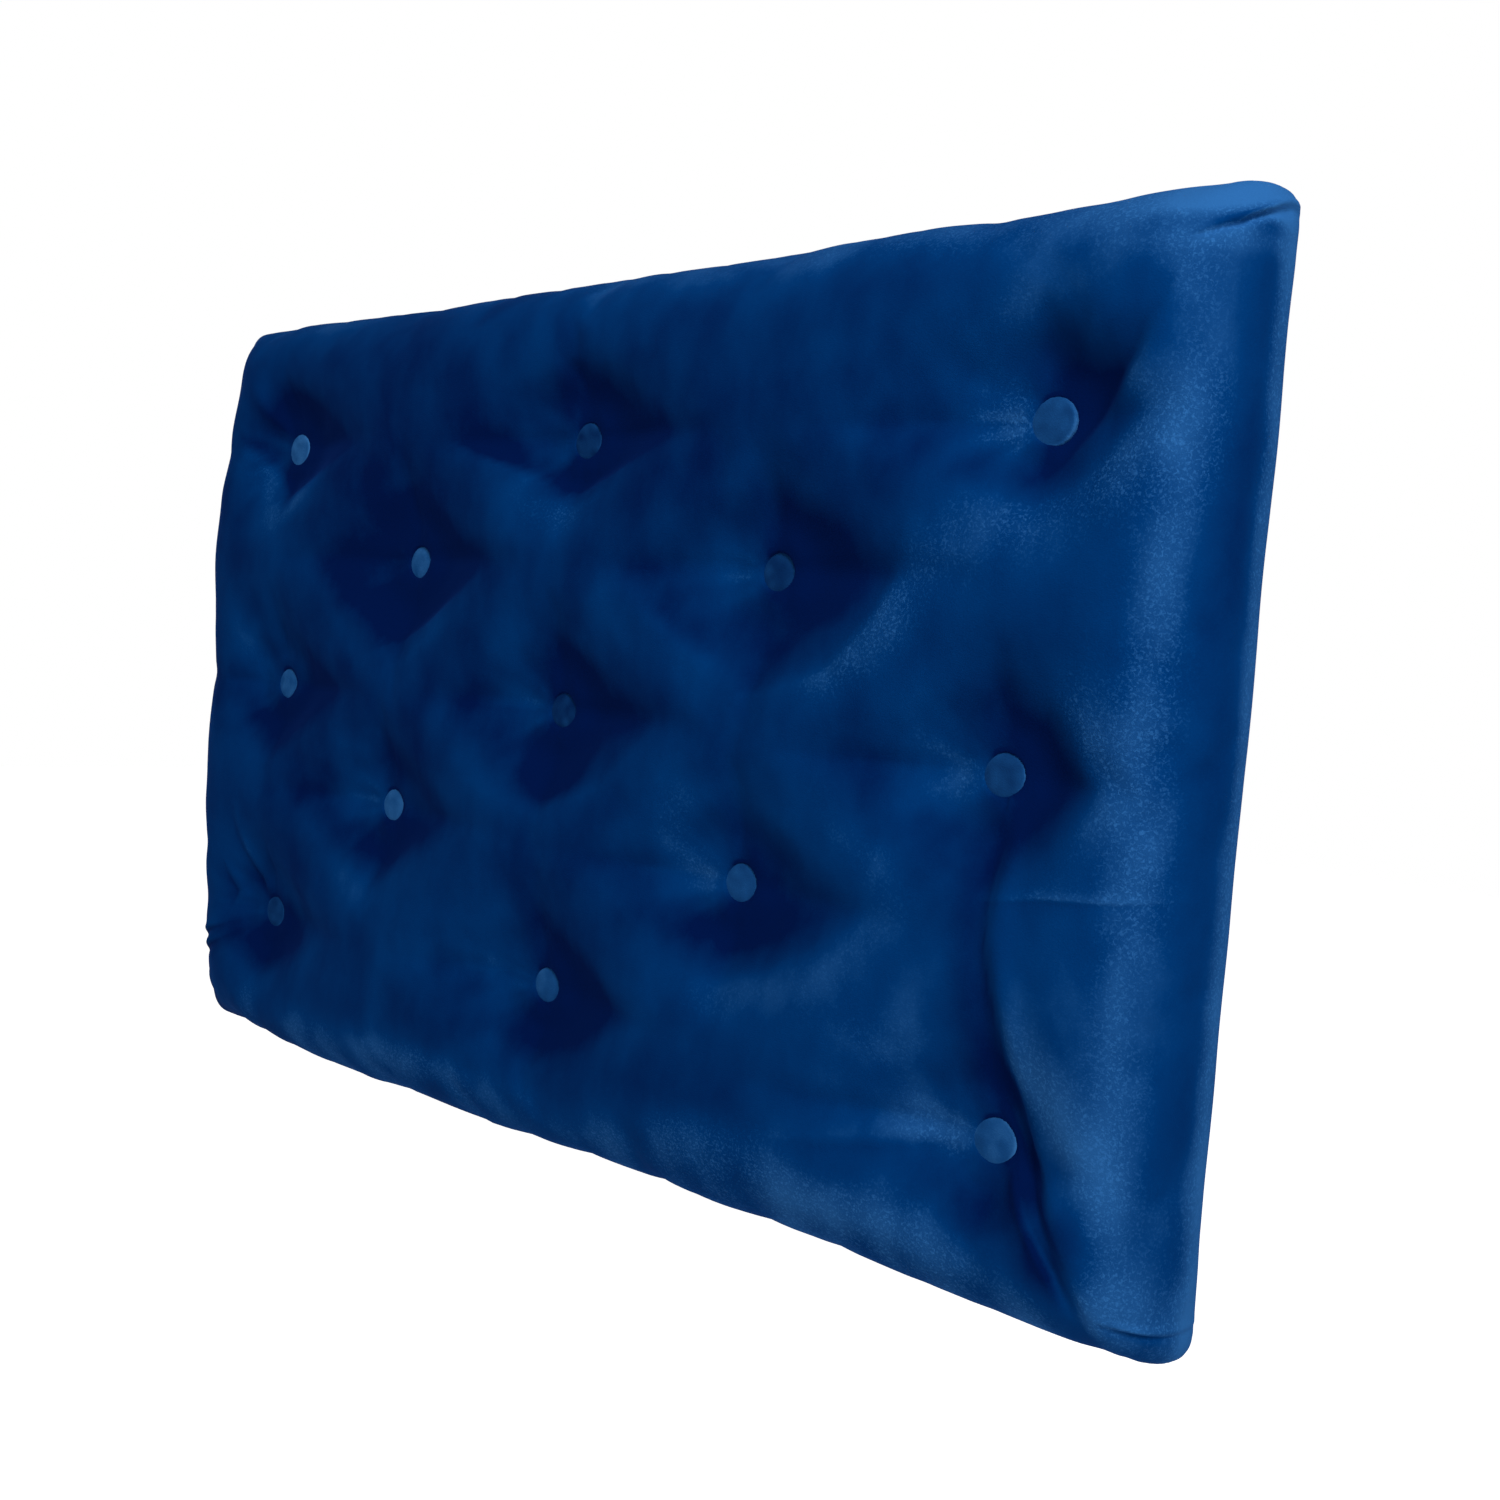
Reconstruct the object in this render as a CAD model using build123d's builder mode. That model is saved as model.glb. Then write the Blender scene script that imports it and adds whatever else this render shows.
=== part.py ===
from build123d import *
import os
from math import asin, cos, hypot, radians, sin

# A wall-hung headboard: velvet over wadding and foam, drawn in by thirteen covered buttons, on a
# plywood panel and a pine frame. Millimetres. +Z is up and the front faces -Y. The origin is on the
# wall, midway between the entry holes of the two keyhole hangers. A depth is a distance from the
# wall towards the front, and an inset is a distance in from the panel's outline.

# Whole panel
panel_width = 900.0
panel_height = 600.0
crown_depth = 74.0

# Rolled edge and crown of the padding
edge_reach = 55.0
edge_straight = 9.0
crown_rise = 6.0
crown_reach = 100.0
outline_corner_radius = 16.0
corner_growth_share = 0.5
roll_angles = (0, 22.5, 45, 67.5, 90)

# Layers from the outside in
velvet_thickness = 1.0
wadding_thickness = 4.0
soft_gap = 0.3
plywood_thickness = 4.0
frame_thickness = 18.0

# Tufts: the grid's margin, and each tuft's column and row, as shares of the two pitches
tuft_margin = 110.0
foam_under_button = 9.4
channel_diameter = 8.0
tuft_place_shares = {
    "a1": (-1.99, 2.02),
    "a3": (0.00, 1.95),
    "a5": (2.03, 1.91),
    "b2": (-1.00, 1.07),
    "b4": (1.01, 1.05),
    "c1": (-1.96, 0.00),
    "c3": (-0.03, 0.03),
    "c5": (1.97, -0.06),
    "d2": (-1.08, -0.88),
    "d4": (0.95, -0.95),
    "e1": (-1.95, -2.00),
    "e3": (-0.01, -1.96),
    "e5": (2.05, -2.11),
}

# The hollow round each tuft: a diamond whose lower point is pulled down less in some rows. Its
# steps go from the seat outwards, as shares of its spread and of its rise to the crown, with flat
# flanks between them.
hollow_left = 135.0
hollow_right = 125.0
hollow_up = 72.0
hollow_down = 86.0
hollow_edge_gap = 28.0
hollow_drop_shares = {"a": 0.62, "b": 1.0, "c": 0.82, "d": 0.8, "e": 0.7}
hollow_step_shares = ((0.62, 0.5), (1.15, 1.04))

# Covered button, its wire eye, and the twine that ties it down
button_diameter = 27.0
button_height = 7.0
button_rim_height = 1.5
button_cloth = 0.8
button_turn_in = 3.7
button_seat_margin = 1.0
shell_thickness = 0.5
back_plate_thickness = 0.6
eye_wire_diameter = 1.2
eye_width = 5.0
eye_leg = 4.0
twine_diameter = 1.5
twine_spread = 3.0
twine_play = 0.1
twine_hole_diameter = 6.0
anchor_diameter = 20.0
anchor_thickness = 3.0
anchor_rounding = 0.8
knot_diameter = 6.0
knot_length = 3.0
knot_rounding = 1.2

# Frame and what joins it
rail_width = 50.0
upright_width = 45.0
core_corner_radius = 6.0
dowel_diameter = 8.0
dowel_length = 40.0
stile_dowel_spacing = 24.0
upright_dowel_spacing = 18.0
nail_diameter = 1.4
nail_head_diameter = 3.5
nail_head_thickness = 0.5
nail_length = 12.0
nail_pitch = 150.0
hole_clearance = 0.1

# Staples of the velvet's hem and of the dust cover
staple_crown = 10.0
staple_wire = 0.6
staple_wire_width = 1.2
staple_length = 6.0
staple_pitch = 75.0
hem_margin = 1.6
hem_staple_edge = 3.0
dust_staple_edge = 3.0
dust_cover_thickness = 0.4
dust_cover_gap = 4.0

# Keyhole hangers
hanger_spacing = 600.0
hanger_drop = 30.0
hanger_plate_width = 60.0
hanger_plate_height = 30.0
hanger_plate_thickness = 2.0
hanger_plate_corner = 4.0
hanger_plate_rise = 5.0
keyhole_diameter = 10.0
keyhole_slot_width = 5.0
keyhole_travel = 12.0
pocket_width = 14.0
pocket_clearance = 3.5
pocket_depth = 9.0
hanger_screw_spacing = 44.0
hanger_screw_diameter = 3.5
hanger_screw_head = 7.0
hanger_screw_length = 16.0

# Felt pads that keep the lower corners off the wall
wall_pad_diameter = 25.0
wall_pad_inset = 26.0

overrun = 5.0

# Depths of the layers, and the skin that each form loses against the outside
hem_back = hanger_plate_thickness
frame_back = hem_back + velvet_thickness
frame_front = frame_back + frame_thickness
plywood_front = frame_front + plywood_thickness
edge_start = hem_back + edge_straight
edge_rise = crown_depth - crown_rise - edge_start
wadding_skin = velvet_thickness + soft_gap
wadding_inner_skin = wadding_skin + wadding_thickness
foam_skin = wadding_inner_skin + soft_gap

# Frame sizes and the tufts' places, from the panel's middle
core_width = panel_width - 2 * foam_skin
core_height = panel_height - 2 * foam_skin
stile_length = core_height - 2 * rail_width
column_pitch = (panel_width - 2 * tuft_margin) / 4
row_pitch = (panel_height - 2 * tuft_margin) / 4
upright_place = column_pitch / 2
tuft_seat = plywood_front + foam_under_button + foam_skin
button_radius = button_diameter / 2
tuft_places = {
    name: (column * column_pitch, row * row_pitch)
    for name, (column, row) in tuft_place_shares.items()
}

# Planes parallel to the wall, about the panel's middle
panel_middle = hanger_drop - panel_height / 2
wall_plane = Plane(origin=(0, 0, panel_middle), x_dir=(1, 0, 0), z_dir=(0, -1, 0))

os.makedirs("parts", exist_ok=True)


def write(piece, label):
    """Labels a finished piece and writes it as its own file."""
    piece.part.label = label
    export_step(piece.part, f"parts/{label}.step")


def on_panel(x, z, depth, turn=0):
    """A place given from the panel's middle, at a depth from the wall, turned about the depth."""
    return Location((x, -depth, panel_middle + z), (0, turn, 0))


tuft_spots = [on_panel(x, z, 0) for x, z in tuft_places.values()]

# The padded form, and what each layer takes from it


def rolled_outlines(skin):
    """Inset and depth of each outline of the rolled edge, from the straight side to the front."""
    outlines = []
    for angle in roll_angles:
        inset = skin + (edge_reach - skin) * (1 - cos(radians(angle)))
        depth = edge_start + (edge_rise - skin) * sin(radians(angle))
        outlines.append((inset, depth))
    return outlines


def tuft_hollow(skin, name):
    """What one tuft takes out of the form: a flat diamond seat, and flanks that rise to the crown."""
    x, z = tuft_places[name]
    reach_x = panel_width / 2 - hollow_edge_gap
    reach_z = panel_height / 2 - hollow_edge_gap
    left = min(hollow_left, reach_x + x)
    right = min(hollow_right, reach_x - x)
    up = min(hollow_up, reach_z - z)
    down = min(hollow_down * hollow_drop_shares[name[0]], reach_z + z)
    outline = [(-left, 0), (0, -down), (right, 0), (0, up)]
    inner_radius = min(across * along / hypot(across, along) for across in (left, right) for along in (up, down))
    seat_share = (button_radius + button_seat_margin) / inner_radius
    with BuildPart() as hollow:
        for spread, rise in ((seat_share, 0), *hollow_step_shares):
            corners = [(x + spread * across, z + spread * along) for across, along in outline]
            with BuildSketch(wall_plane.offset(tuft_seat - skin + rise * (crown_depth - tuft_seat))):
                Polygon(*corners, align=None)
        loft(ruled=True)
    return hollow.part


def padded_form(skin, back):
    """The padding's outer form less a skin: straight sides, rolled edge, crown and tufts."""
    hollows = [tuft_hollow(skin, name) for name in tuft_places]
    roll = rolled_outlines(skin)
    crown = [roll[-1], (edge_reach + crown_reach, crown_depth - skin)]
    side_radius = outline_corner_radius - skin
    with BuildPart() as form:
        with BuildSketch(wall_plane.offset(back)):
            RectangleRounded(panel_width - 2 * skin, panel_height - 2 * skin, side_radius)
        extrude(amount=edge_start - back)
        for outlines, ruled in ((roll, False), (crown, True)):
            for inset, depth in outlines:
                radius = side_radius + corner_growth_share * (inset - skin)
                with BuildSketch(wall_plane.offset(depth)):
                    RectangleRounded(panel_width - 2 * inset, panel_height - 2 * inset, radius)
            loft(ruled=ruled)
        add(hollows, mode=Mode.SUBTRACT)
    return form.part


# Fasteners, each made once at the origin with its head on the wall's side


def staple(growth=0.0):
    """A wire staple; with a growth, the hole that its wire needs."""
    wire = staple_wire + 2 * growth
    width = staple_crown + 2 * growth
    length = staple_length + growth
    with BuildPart() as made:
        Box(width, length, staple_wire_width + 2 * growth, align=(Align.CENTER, Align.MAX, Align.CENTER))
        with Locations((0, -staple_wire, 0)):
            Box(
                width - 2 * wire,
                length - staple_wire,
                staple_wire_width + 2 * growth,
                align=(Align.CENTER, Align.MAX, Align.CENTER),
                mode=Mode.SUBTRACT,
            )
    return made.part


def screw(growth=0.0):
    """A countersunk screw; with a growth, the hole that it needs."""
    head = hanger_screw_head / 2 + growth
    shank = hanger_screw_diameter / 2 + growth
    cone = head - shank
    length = hanger_screw_length + growth
    with BuildPart() as made:
        with BuildSketch(Plane.XY):
            Polygon((0, 0), (head, 0), (shank, -cone), (shank, -length), (0, -length), align=None)
        revolve(axis=Axis.Y)
    return made.part


def nail(growth=0.0):
    """A flat-headed nail driven from the front towards the wall."""
    head = nail_head_diameter / 2 + growth
    shank = nail_diameter / 2 + growth
    length = nail_length + growth
    with BuildPart() as made:
        with BuildSketch(Plane.XY):
            Polygon(
                (0, 0),
                (head, 0),
                (head, nail_head_thickness),
                (shank, nail_head_thickness),
                (shank, length),
                (0, length),
                align=None,
            )
        revolve(axis=Axis.Y)
    return made.part


def ring_spots(inset, depth, between):
    """Places of staples round the back, at an inset; one ring's lie between the other's."""
    half_width = panel_width / 2 - inset
    half_height = panel_height / 2 - inset
    across = round(core_width / staple_pitch)
    up = round(core_height / staple_pitch)
    first = 1 if between else 0
    shift = 0 if between else 1 / 2
    spots = []
    for number in range(first, across):
        x = (number + shift) * core_width / across - core_width / 2
        spots += [on_panel(x, half_height, depth), on_panel(x, -half_height, depth)]
    for number in range(first, up):
        z = (number + shift) * core_height / up - core_height / 2
        spots += [on_panel(half_width, z, depth, 90), on_panel(-half_width, z, depth, 90)]
    return spots


# Places of the fasteners and of the hangers
dust_cover_inset = hanger_drop + hanger_plate_height / 2 - hanger_plate_rise + dust_cover_gap
hem_width = foam_skin + rail_width - hem_margin
dust_cover_back = hem_back - staple_wire - dust_cover_thickness
hem_staple_spots = ring_spots(hem_width - hem_staple_edge, hem_back - staple_wire, False)
dust_staple_spots = ring_spots(dust_cover_inset + dust_staple_edge, dust_cover_back - staple_wire, True)
hanger_places = {"left": -hanger_spacing / 2, "right": hanger_spacing / 2}
hanger_plate_z = panel_height / 2 - hanger_drop + hanger_plate_rise
hanger_screw_spots = [
    on_panel(x + side * hanger_screw_spacing / 2, hanger_plate_z, 0)
    for x in hanger_places.values()
    for side in (-1, 1)
]
pocket_top = keyhole_travel + keyhole_slot_width / 2 + pocket_clearance
pocket_bottom = keyhole_diameter / 2 + pocket_clearance
rail_z = (core_height - rail_width) / 2
stile_x = (core_width - rail_width) / 2
joint_z = core_height / 2 - rail_width
nails_across = round(core_width / nail_pitch)
nails_up = round(stile_length / nail_pitch)
nail_places_x = [
    (number + 1 / 2) * core_width / nails_across - core_width / 2 for number in range(nails_across)
]
nail_places_z = [
    (number + 1 / 2) * stile_length / nails_up - stile_length / 2 for number in range(nails_up)
]
nail_spots = [on_panel(x, z, plywood_front) for x in nail_places_x for z in (-rail_z, rail_z)]
nail_spots += [
    on_panel(x, z, plywood_front)
    for x in (-stile_x, stile_x, -upright_place, upright_place)
    for z in nail_places_z
]
dowel_places = [
    (side * (post + offset), end * joint_z)
    for side in (-1, 1)
    for end in (-1, 1)
    for post, spacing in ((stile_x, stile_dowel_spacing), (upright_place, upright_dowel_spacing))
    for offset in (-spacing / 2, spacing / 2)
]
dowel_spots = [on_panel(x, z, frame_back + frame_thickness / 2) for x, z in dowel_places]
cover_staple = staple()
hanger_screw = screw()
panel_nail = nail()
staple_hole = staple(hole_clearance)
screw_hole = screw(hole_clearance)
nail_hole = nail(hole_clearance)


# Padding

velvet_outside = padded_form(0, hem_back)
velvet_inside = padded_form(velvet_thickness, frame_back)
wadding_outside = padded_form(wadding_skin, frame_back)
wadding_inside = padded_form(wadding_inner_skin, frame_back)
foam_outside = padded_form(foam_skin, frame_back)

with BuildPart() as twine_channels:
    with BuildSketch(wall_plane.offset(plywood_front)):
        with Locations(*tuft_places.values()):
            Circle(channel_diameter / 2)
    extrude(amount=crown_depth - plywood_front)

with BuildPart() as velvet_cover:
    add(velvet_outside)
    add(velvet_inside, mode=Mode.SUBTRACT)
    with BuildSketch(wall_plane.offset(hem_back)):
        Rectangle(panel_width - 2 * hem_width, panel_height - 2 * hem_width)
        for x in hanger_places.values():
            with Locations((x, panel_height / 2 - hanger_drop + (pocket_top - pocket_bottom) / 2)):
                Rectangle(pocket_width, pocket_top + pocket_bottom)
    extrude(amount=velvet_thickness, mode=Mode.SUBTRACT)
    add(twine_channels.part, mode=Mode.SUBTRACT)
    with Locations(*hem_staple_spots, *dust_staple_spots):
        add(staple_hole, mode=Mode.SUBTRACT)
    with Locations(*hanger_screw_spots):
        add(screw_hole, mode=Mode.SUBTRACT)
write(velvet_cover, "velvet_cover")

with BuildPart() as wadding:
    add(wadding_outside)
    add(wadding_inside, mode=Mode.SUBTRACT)
    with BuildSketch(wall_plane.offset(frame_back)):
        RectangleRounded(core_width, core_height, core_corner_radius)
    extrude(amount=plywood_front - frame_back, mode=Mode.SUBTRACT)
    add(twine_channels.part, mode=Mode.SUBTRACT)
write(wadding, "wadding")

with BuildPart() as foam_pad:
    add(foam_outside)
    split(bisect_by=wall_plane.offset(plywood_front), keep=Keep.TOP)
    add(twine_channels.part, mode=Mode.SUBTRACT)
write(foam_pad, "foam_pad")


# Covered buttons and the twines that tie them down

button_rim = tuft_seat + button_rim_height
button_top = tuft_seat + button_height
turn_in_front = tuft_seat + button_cloth
eye_bend = turn_in_front - eye_leg
eye_bottom = eye_bend - eye_width / 2
twine_bend = eye_bottom + eye_wire_diameter / 2 + twine_diameter / 2 + twine_play - twine_spread / 2
anchor_back = frame_front - anchor_thickness


def dome(radius, rim, top):
    """The arc of a dome from its rim to its top, for a profile turned about the Y axis."""
    sagitta = top - rim
    ball = (radius**2 + sagitta**2) / (2 * sagitta)
    half_turn = asin(radius / ball) / 2
    middle = (ball * sin(half_turn), -(top - ball) - ball * cos(half_turn))
    ThreePointArc((radius, -rim), middle, (0, -top))


with BuildPart() as button_velvet:
    with BuildSketch(Plane.XY):
        with BuildLine():
            Line((button_radius - button_turn_in, -tuft_seat), (button_radius, -tuft_seat))
            Line((button_radius, -tuft_seat), (button_radius, -button_rim))
            dome(button_radius, button_rim, button_top)
            Line((0, -button_top), (0, -button_top + button_cloth))
            dome(button_radius - button_cloth, button_rim, button_top - button_cloth)
            Polyline(
                (button_radius - button_cloth, -button_rim),
                (button_radius - button_cloth, -turn_in_front),
                (button_radius - button_turn_in, -turn_in_front),
                (button_radius - button_turn_in, -tuft_seat),
            )
        make_face()
    revolve(axis=Axis.Y)

with BuildPart() as button_shell:
    shell_radius = button_radius - button_cloth
    shell_top = button_top - button_cloth
    shell_inside = shell_radius - shell_thickness
    with BuildSketch(Plane.XY):
        with BuildLine():
            Line((shell_inside, -turn_in_front), (shell_radius, -turn_in_front))
            Line((shell_radius, -turn_in_front), (shell_radius, -button_rim))
            dome(shell_radius, button_rim, shell_top)
            Line((0, -shell_top), (0, -shell_top + shell_thickness))
            dome(shell_inside, button_rim, shell_top - shell_thickness)
            Line((shell_inside, -button_rim), (shell_inside, -turn_in_front))
        make_face()
    revolve(axis=Axis.Y)

with BuildPart() as button_back:
    with BuildSketch(Plane.XZ.offset(turn_in_front)):
        Circle(shell_radius - shell_thickness)
    extrude(amount=back_plate_thickness)

with BuildPart() as button_eye:
    with BuildLine(Plane.YZ) as eye_line:
        Line((-turn_in_front, eye_width / 2), (-eye_bend, eye_width / 2))
        ThreePointArc((-eye_bend, eye_width / 2), (-eye_bottom, 0), (-eye_bend, -eye_width / 2))
        Line((-eye_bend, -eye_width / 2), (-turn_in_front, -eye_width / 2))
    with BuildSketch(Plane(eye_line.line @ 0, z_dir=eye_line.line % 0)):
        Circle(eye_wire_diameter / 2)
    sweep()

with BuildPart() as knot:
    with BuildSketch(Plane.XZ.offset(anchor_back - knot_length)):
        Circle(knot_diameter / 2)
    extrude(amount=knot_length)
    fillet(knot.edges().sort_by(Axis.Y)[-1], knot_rounding)

with BuildPart() as twine:
    knot_middle = anchor_back - knot_length / 2
    with BuildLine(Plane.XY) as twine_line:
        Line((-twine_spread / 2, -knot_middle), (-twine_spread / 2, -twine_bend))
        ThreePointArc(
            (-twine_spread / 2, -twine_bend),
            (0, -twine_bend - twine_spread / 2),
            (twine_spread / 2, -twine_bend),
        )
        Line((twine_spread / 2, -twine_bend), (twine_spread / 2, -knot_middle))
    with BuildSketch(Plane(twine_line.line @ 0, z_dir=twine_line.line % 0)):
        Circle(twine_diameter / 2)
    sweep()
    add(knot.part)

with BuildPart() as anchor:
    with BuildSketch(Plane.XZ.offset(anchor_back)):
        Circle(anchor_diameter / 2)
    extrude(amount=anchor_thickness)
    fillet(anchor.edges().filter_by(GeomType.CIRCLE), anchor_rounding)
    with BuildSketch(Plane.XZ.offset(anchor_back)):
        with Locations((-twine_spread / 2, 0), (twine_spread / 2, 0)):
            Circle(twine_diameter / 2 + twine_play)
    extrude(amount=anchor_thickness, mode=Mode.SUBTRACT)

for name, (x, z) in tuft_places.items():
    with BuildPart() as button:
        with Locations(on_panel(x, z, 0)):
            add(button_velvet.part)
    write(button, f"button_{name}")

for label, piece in {
    "button_shells": button_shell,
    "button_backs": button_back,
    "button_eyes": button_eye,
    "tufting_twines": twine,
    "twine_anchors": anchor,
}.items():
    with BuildPart() as group:
        with Locations(*tuft_spots):
            add(piece.part)
    write(group, label)


# Plywood backing panel and pine frame

with BuildPart() as backing_panel:
    with BuildSketch(wall_plane.offset(frame_front)):
        RectangleRounded(core_width, core_height, core_corner_radius)
        with Locations(*tuft_places.values()):
            Circle(twine_hole_diameter / 2, mode=Mode.SUBTRACT)
    extrude(amount=plywood_thickness)
    with Locations(*nail_spots):
        add(nail_hole, mode=Mode.SUBTRACT)
write(backing_panel, "backing_panel")

with BuildPart() as dowel_holes:
    with Locations(*dowel_spots):
        Cylinder(dowel_diameter / 2 + hole_clearance, dowel_length + 2 * hole_clearance)

with BuildPart() as hanger_pockets:
    with BuildSketch(wall_plane.offset(frame_back)):
        for x in hanger_places.values():
            with Locations((x, panel_height / 2 - hanger_drop + (pocket_top - pocket_bottom) / 2)):
                Rectangle(pocket_width, pocket_top + pocket_bottom)
    extrude(amount=pocket_depth)


def frame_member(x, z, width, height):
    """One lath of the frame, with the holes of every fastener that meets it."""
    with BuildPart() as member:
        with BuildSketch(wall_plane.offset(frame_back)):
            RectangleRounded(core_width, core_height, core_corner_radius)
            with Locations((x, z)):
                Rectangle(width, height, mode=Mode.INTERSECT)
        extrude(amount=frame_thickness)
        add(dowel_holes.part, mode=Mode.SUBTRACT)
        add(hanger_pockets.part, mode=Mode.SUBTRACT)
        with Locations(*nail_spots):
            add(nail_hole, mode=Mode.SUBTRACT)
        with Locations(*hem_staple_spots, *dust_staple_spots):
            add(staple_hole, mode=Mode.SUBTRACT)
        with Locations(*hanger_screw_spots):
            add(screw_hole, mode=Mode.SUBTRACT)
    return member


write(frame_member(0, rail_z, core_width, rail_width), "top_rail")
write(frame_member(0, -rail_z, core_width, rail_width), "bottom_rail")
write(frame_member(-stile_x, 0, rail_width, stile_length), "left_stile")
write(frame_member(stile_x, 0, rail_width, stile_length), "right_stile")
write(frame_member(-upright_place, 0, upright_width, stile_length), "left_upright")
write(frame_member(upright_place, 0, upright_width, stile_length), "right_upright")

corner_block_leg = tuft_margin - foam_skin - rail_width - anchor_diameter / 2
for across, side in (("left", -1), ("right", 1)):
    for height, end in (("top", 1), ("bottom", -1)):
        corner = (side * (core_width / 2 - rail_width), end * joint_z)
        with BuildPart() as corner_block:
            with BuildSketch(wall_plane.offset(frame_back)):
                Polygon(
                    corner,
                    (corner[0] - side * corner_block_leg, corner[1]),
                    (corner[0], corner[1] - end * corner_block_leg),
                    align=None,
                )
            extrude(amount=frame_thickness)
        write(corner_block, f"corner_block_{height}_{across}")

with BuildPart() as frame_dowels:
    with Locations(*dowel_spots):
        Cylinder(dowel_diameter / 2, dowel_length)
write(frame_dowels, "frame_dowels")

with BuildPart() as panel_nails:
    with Locations(*nail_spots):
        add(panel_nail)
write(panel_nails, "panel_nails")


# Back: dust cover, staples, hangers and wall pads

with BuildPart() as dust_cover:
    with BuildSketch(wall_plane.offset(dust_cover_back)):
        Rectangle(panel_width - 2 * dust_cover_inset, panel_height - 2 * dust_cover_inset)
    extrude(amount=dust_cover_thickness)
    with Locations(*dust_staple_spots):
        add(staple_hole, mode=Mode.SUBTRACT)
write(dust_cover, "dust_cover")

with BuildPart() as cover_staples:
    with Locations(*hem_staple_spots):
        add(cover_staple)
write(cover_staples, "cover_staples")

with BuildPart() as dust_cover_staples:
    with Locations(*dust_staple_spots):
        add(cover_staple)
write(dust_cover_staples, "dust_cover_staples")

for name, x in hanger_places.items():
    with BuildPart() as hanger_plate:
        with BuildSketch(wall_plane):
            with Locations((x, hanger_plate_z)):
                RectangleRounded(hanger_plate_width, hanger_plate_height, hanger_plate_corner)
            with Locations((x, panel_height / 2 - hanger_drop)):
                Circle(keyhole_diameter / 2, mode=Mode.SUBTRACT)
            with Locations((x, panel_height / 2 - hanger_drop + keyhole_travel)):
                Circle(keyhole_slot_width / 2, mode=Mode.SUBTRACT)
            with Locations((x, panel_height / 2 - hanger_drop + keyhole_travel / 2)):
                Rectangle(keyhole_slot_width, keyhole_travel, mode=Mode.SUBTRACT)
        extrude(amount=hanger_plate_thickness)
        with Locations(*hanger_screw_spots):
            add(screw_hole, mode=Mode.SUBTRACT)
    write(hanger_plate, f"{name}_hanger_plate")

with BuildPart() as hanger_screws:
    with Locations(*hanger_screw_spots):
        add(hanger_screw)
write(hanger_screws, "hanger_screws")

for name, side in (("left", -1), ("right", 1)):
    pad_x = side * (panel_width / 2 - wall_pad_inset)
    with BuildPart() as wall_pad:
        with BuildSketch(wall_plane):
            with Locations((pad_x, wall_pad_inset - panel_height / 2)):
                Circle(wall_pad_diameter / 2)
        extrude(amount=hem_back)
    write(wall_pad, f"{name}_wall_pad")
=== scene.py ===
import math

import bpy
import numpy as np
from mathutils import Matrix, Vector
from mathutils.noise import noise


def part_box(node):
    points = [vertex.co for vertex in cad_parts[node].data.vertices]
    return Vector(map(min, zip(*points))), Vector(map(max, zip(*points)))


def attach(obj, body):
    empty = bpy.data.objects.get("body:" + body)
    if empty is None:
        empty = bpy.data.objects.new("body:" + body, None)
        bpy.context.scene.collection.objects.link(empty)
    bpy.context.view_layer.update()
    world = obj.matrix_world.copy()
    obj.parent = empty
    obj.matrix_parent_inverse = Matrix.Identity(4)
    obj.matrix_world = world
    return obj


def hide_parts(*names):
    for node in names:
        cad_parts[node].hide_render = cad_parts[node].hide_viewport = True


# A wall-hung headboard in buttoned velvet. Metres, +Z up, the front faces -Y and the wall is y = 0.

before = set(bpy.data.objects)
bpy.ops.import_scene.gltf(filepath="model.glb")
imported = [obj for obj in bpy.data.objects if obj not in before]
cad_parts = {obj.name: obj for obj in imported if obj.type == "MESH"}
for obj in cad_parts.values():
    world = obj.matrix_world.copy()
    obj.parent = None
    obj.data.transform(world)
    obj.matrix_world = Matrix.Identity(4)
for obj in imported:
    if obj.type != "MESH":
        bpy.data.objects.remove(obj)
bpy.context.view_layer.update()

MM = 0.001


def node_size(node):
    low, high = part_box(node)
    return Vector(high) - Vector(low)


def node_center(node):
    low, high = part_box(node)
    return (Vector(low) + Vector(high)) / 2


# The panel as the frame gives it

panel_center = node_center("velvet_cover")
panel_size = node_size("velvet_cover")
half_width, half_height = panel_size.x / 2, panel_size.z / 2
hem_back = -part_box("velvet_cover")[1][1]
core_front = -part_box("backing_panel")[0][1]
tuft_names = ("a1", "a3", "a5", "b2", "b4", "c1", "c3", "c5", "d2", "d4", "e1", "e3", "e5")
tufts = {name: node_center(f"button_{name}") for name in tuft_names}
button_radius = node_size("button_c3").x / 2
tuft_seat = -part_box("button_c3")[1][1]

# The cover's rolled edge, its hem and the cells of its cloth
edge_reach = 55 * MM
edge_start = 11 * MM
edge_rise = 57 * MM
crown_rise = 2 * MM
hem_turn = 2.5 * MM
hem_width = 54 * MM
corner_radius = 16 * MM
corner_growth = 0.5
corner_most = 0.9
corner_least = 0.5 * MM
level_tolerance = 1e-6
roll_steps = 40
hem_steps = 8
cell = 6.5 * MM

# How far the padding bulges past the plain outline, side by side, at even steps along each side
left_bow = [bow * MM for bow in (-20, -20, -14, -7, 1, 3, 2, 3.5, 9, 4, -8, -18, -16)]
right_bow = [bow * MM for bow in (3, -2.5, -3, -3, -2, -1.5, 0.5)]
top_bow = [bow * MM for bow in (
    1, 2, 3, 1.5, -0.5, -1.5, 0, -0.5, -1.5, -2, 0, 0, -1.5, 2.5, 3, 0.5, 1.5, 1.5, 2)]
bottom_bow = [bow * MM for bow in (
    -7, -5, 2, 7, 9, 8.5, 6, 6, 5.5, 3, 0, 0, 0.5, -1.5, -2, -2, -1.5, -0.5, -0.5)]

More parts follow.
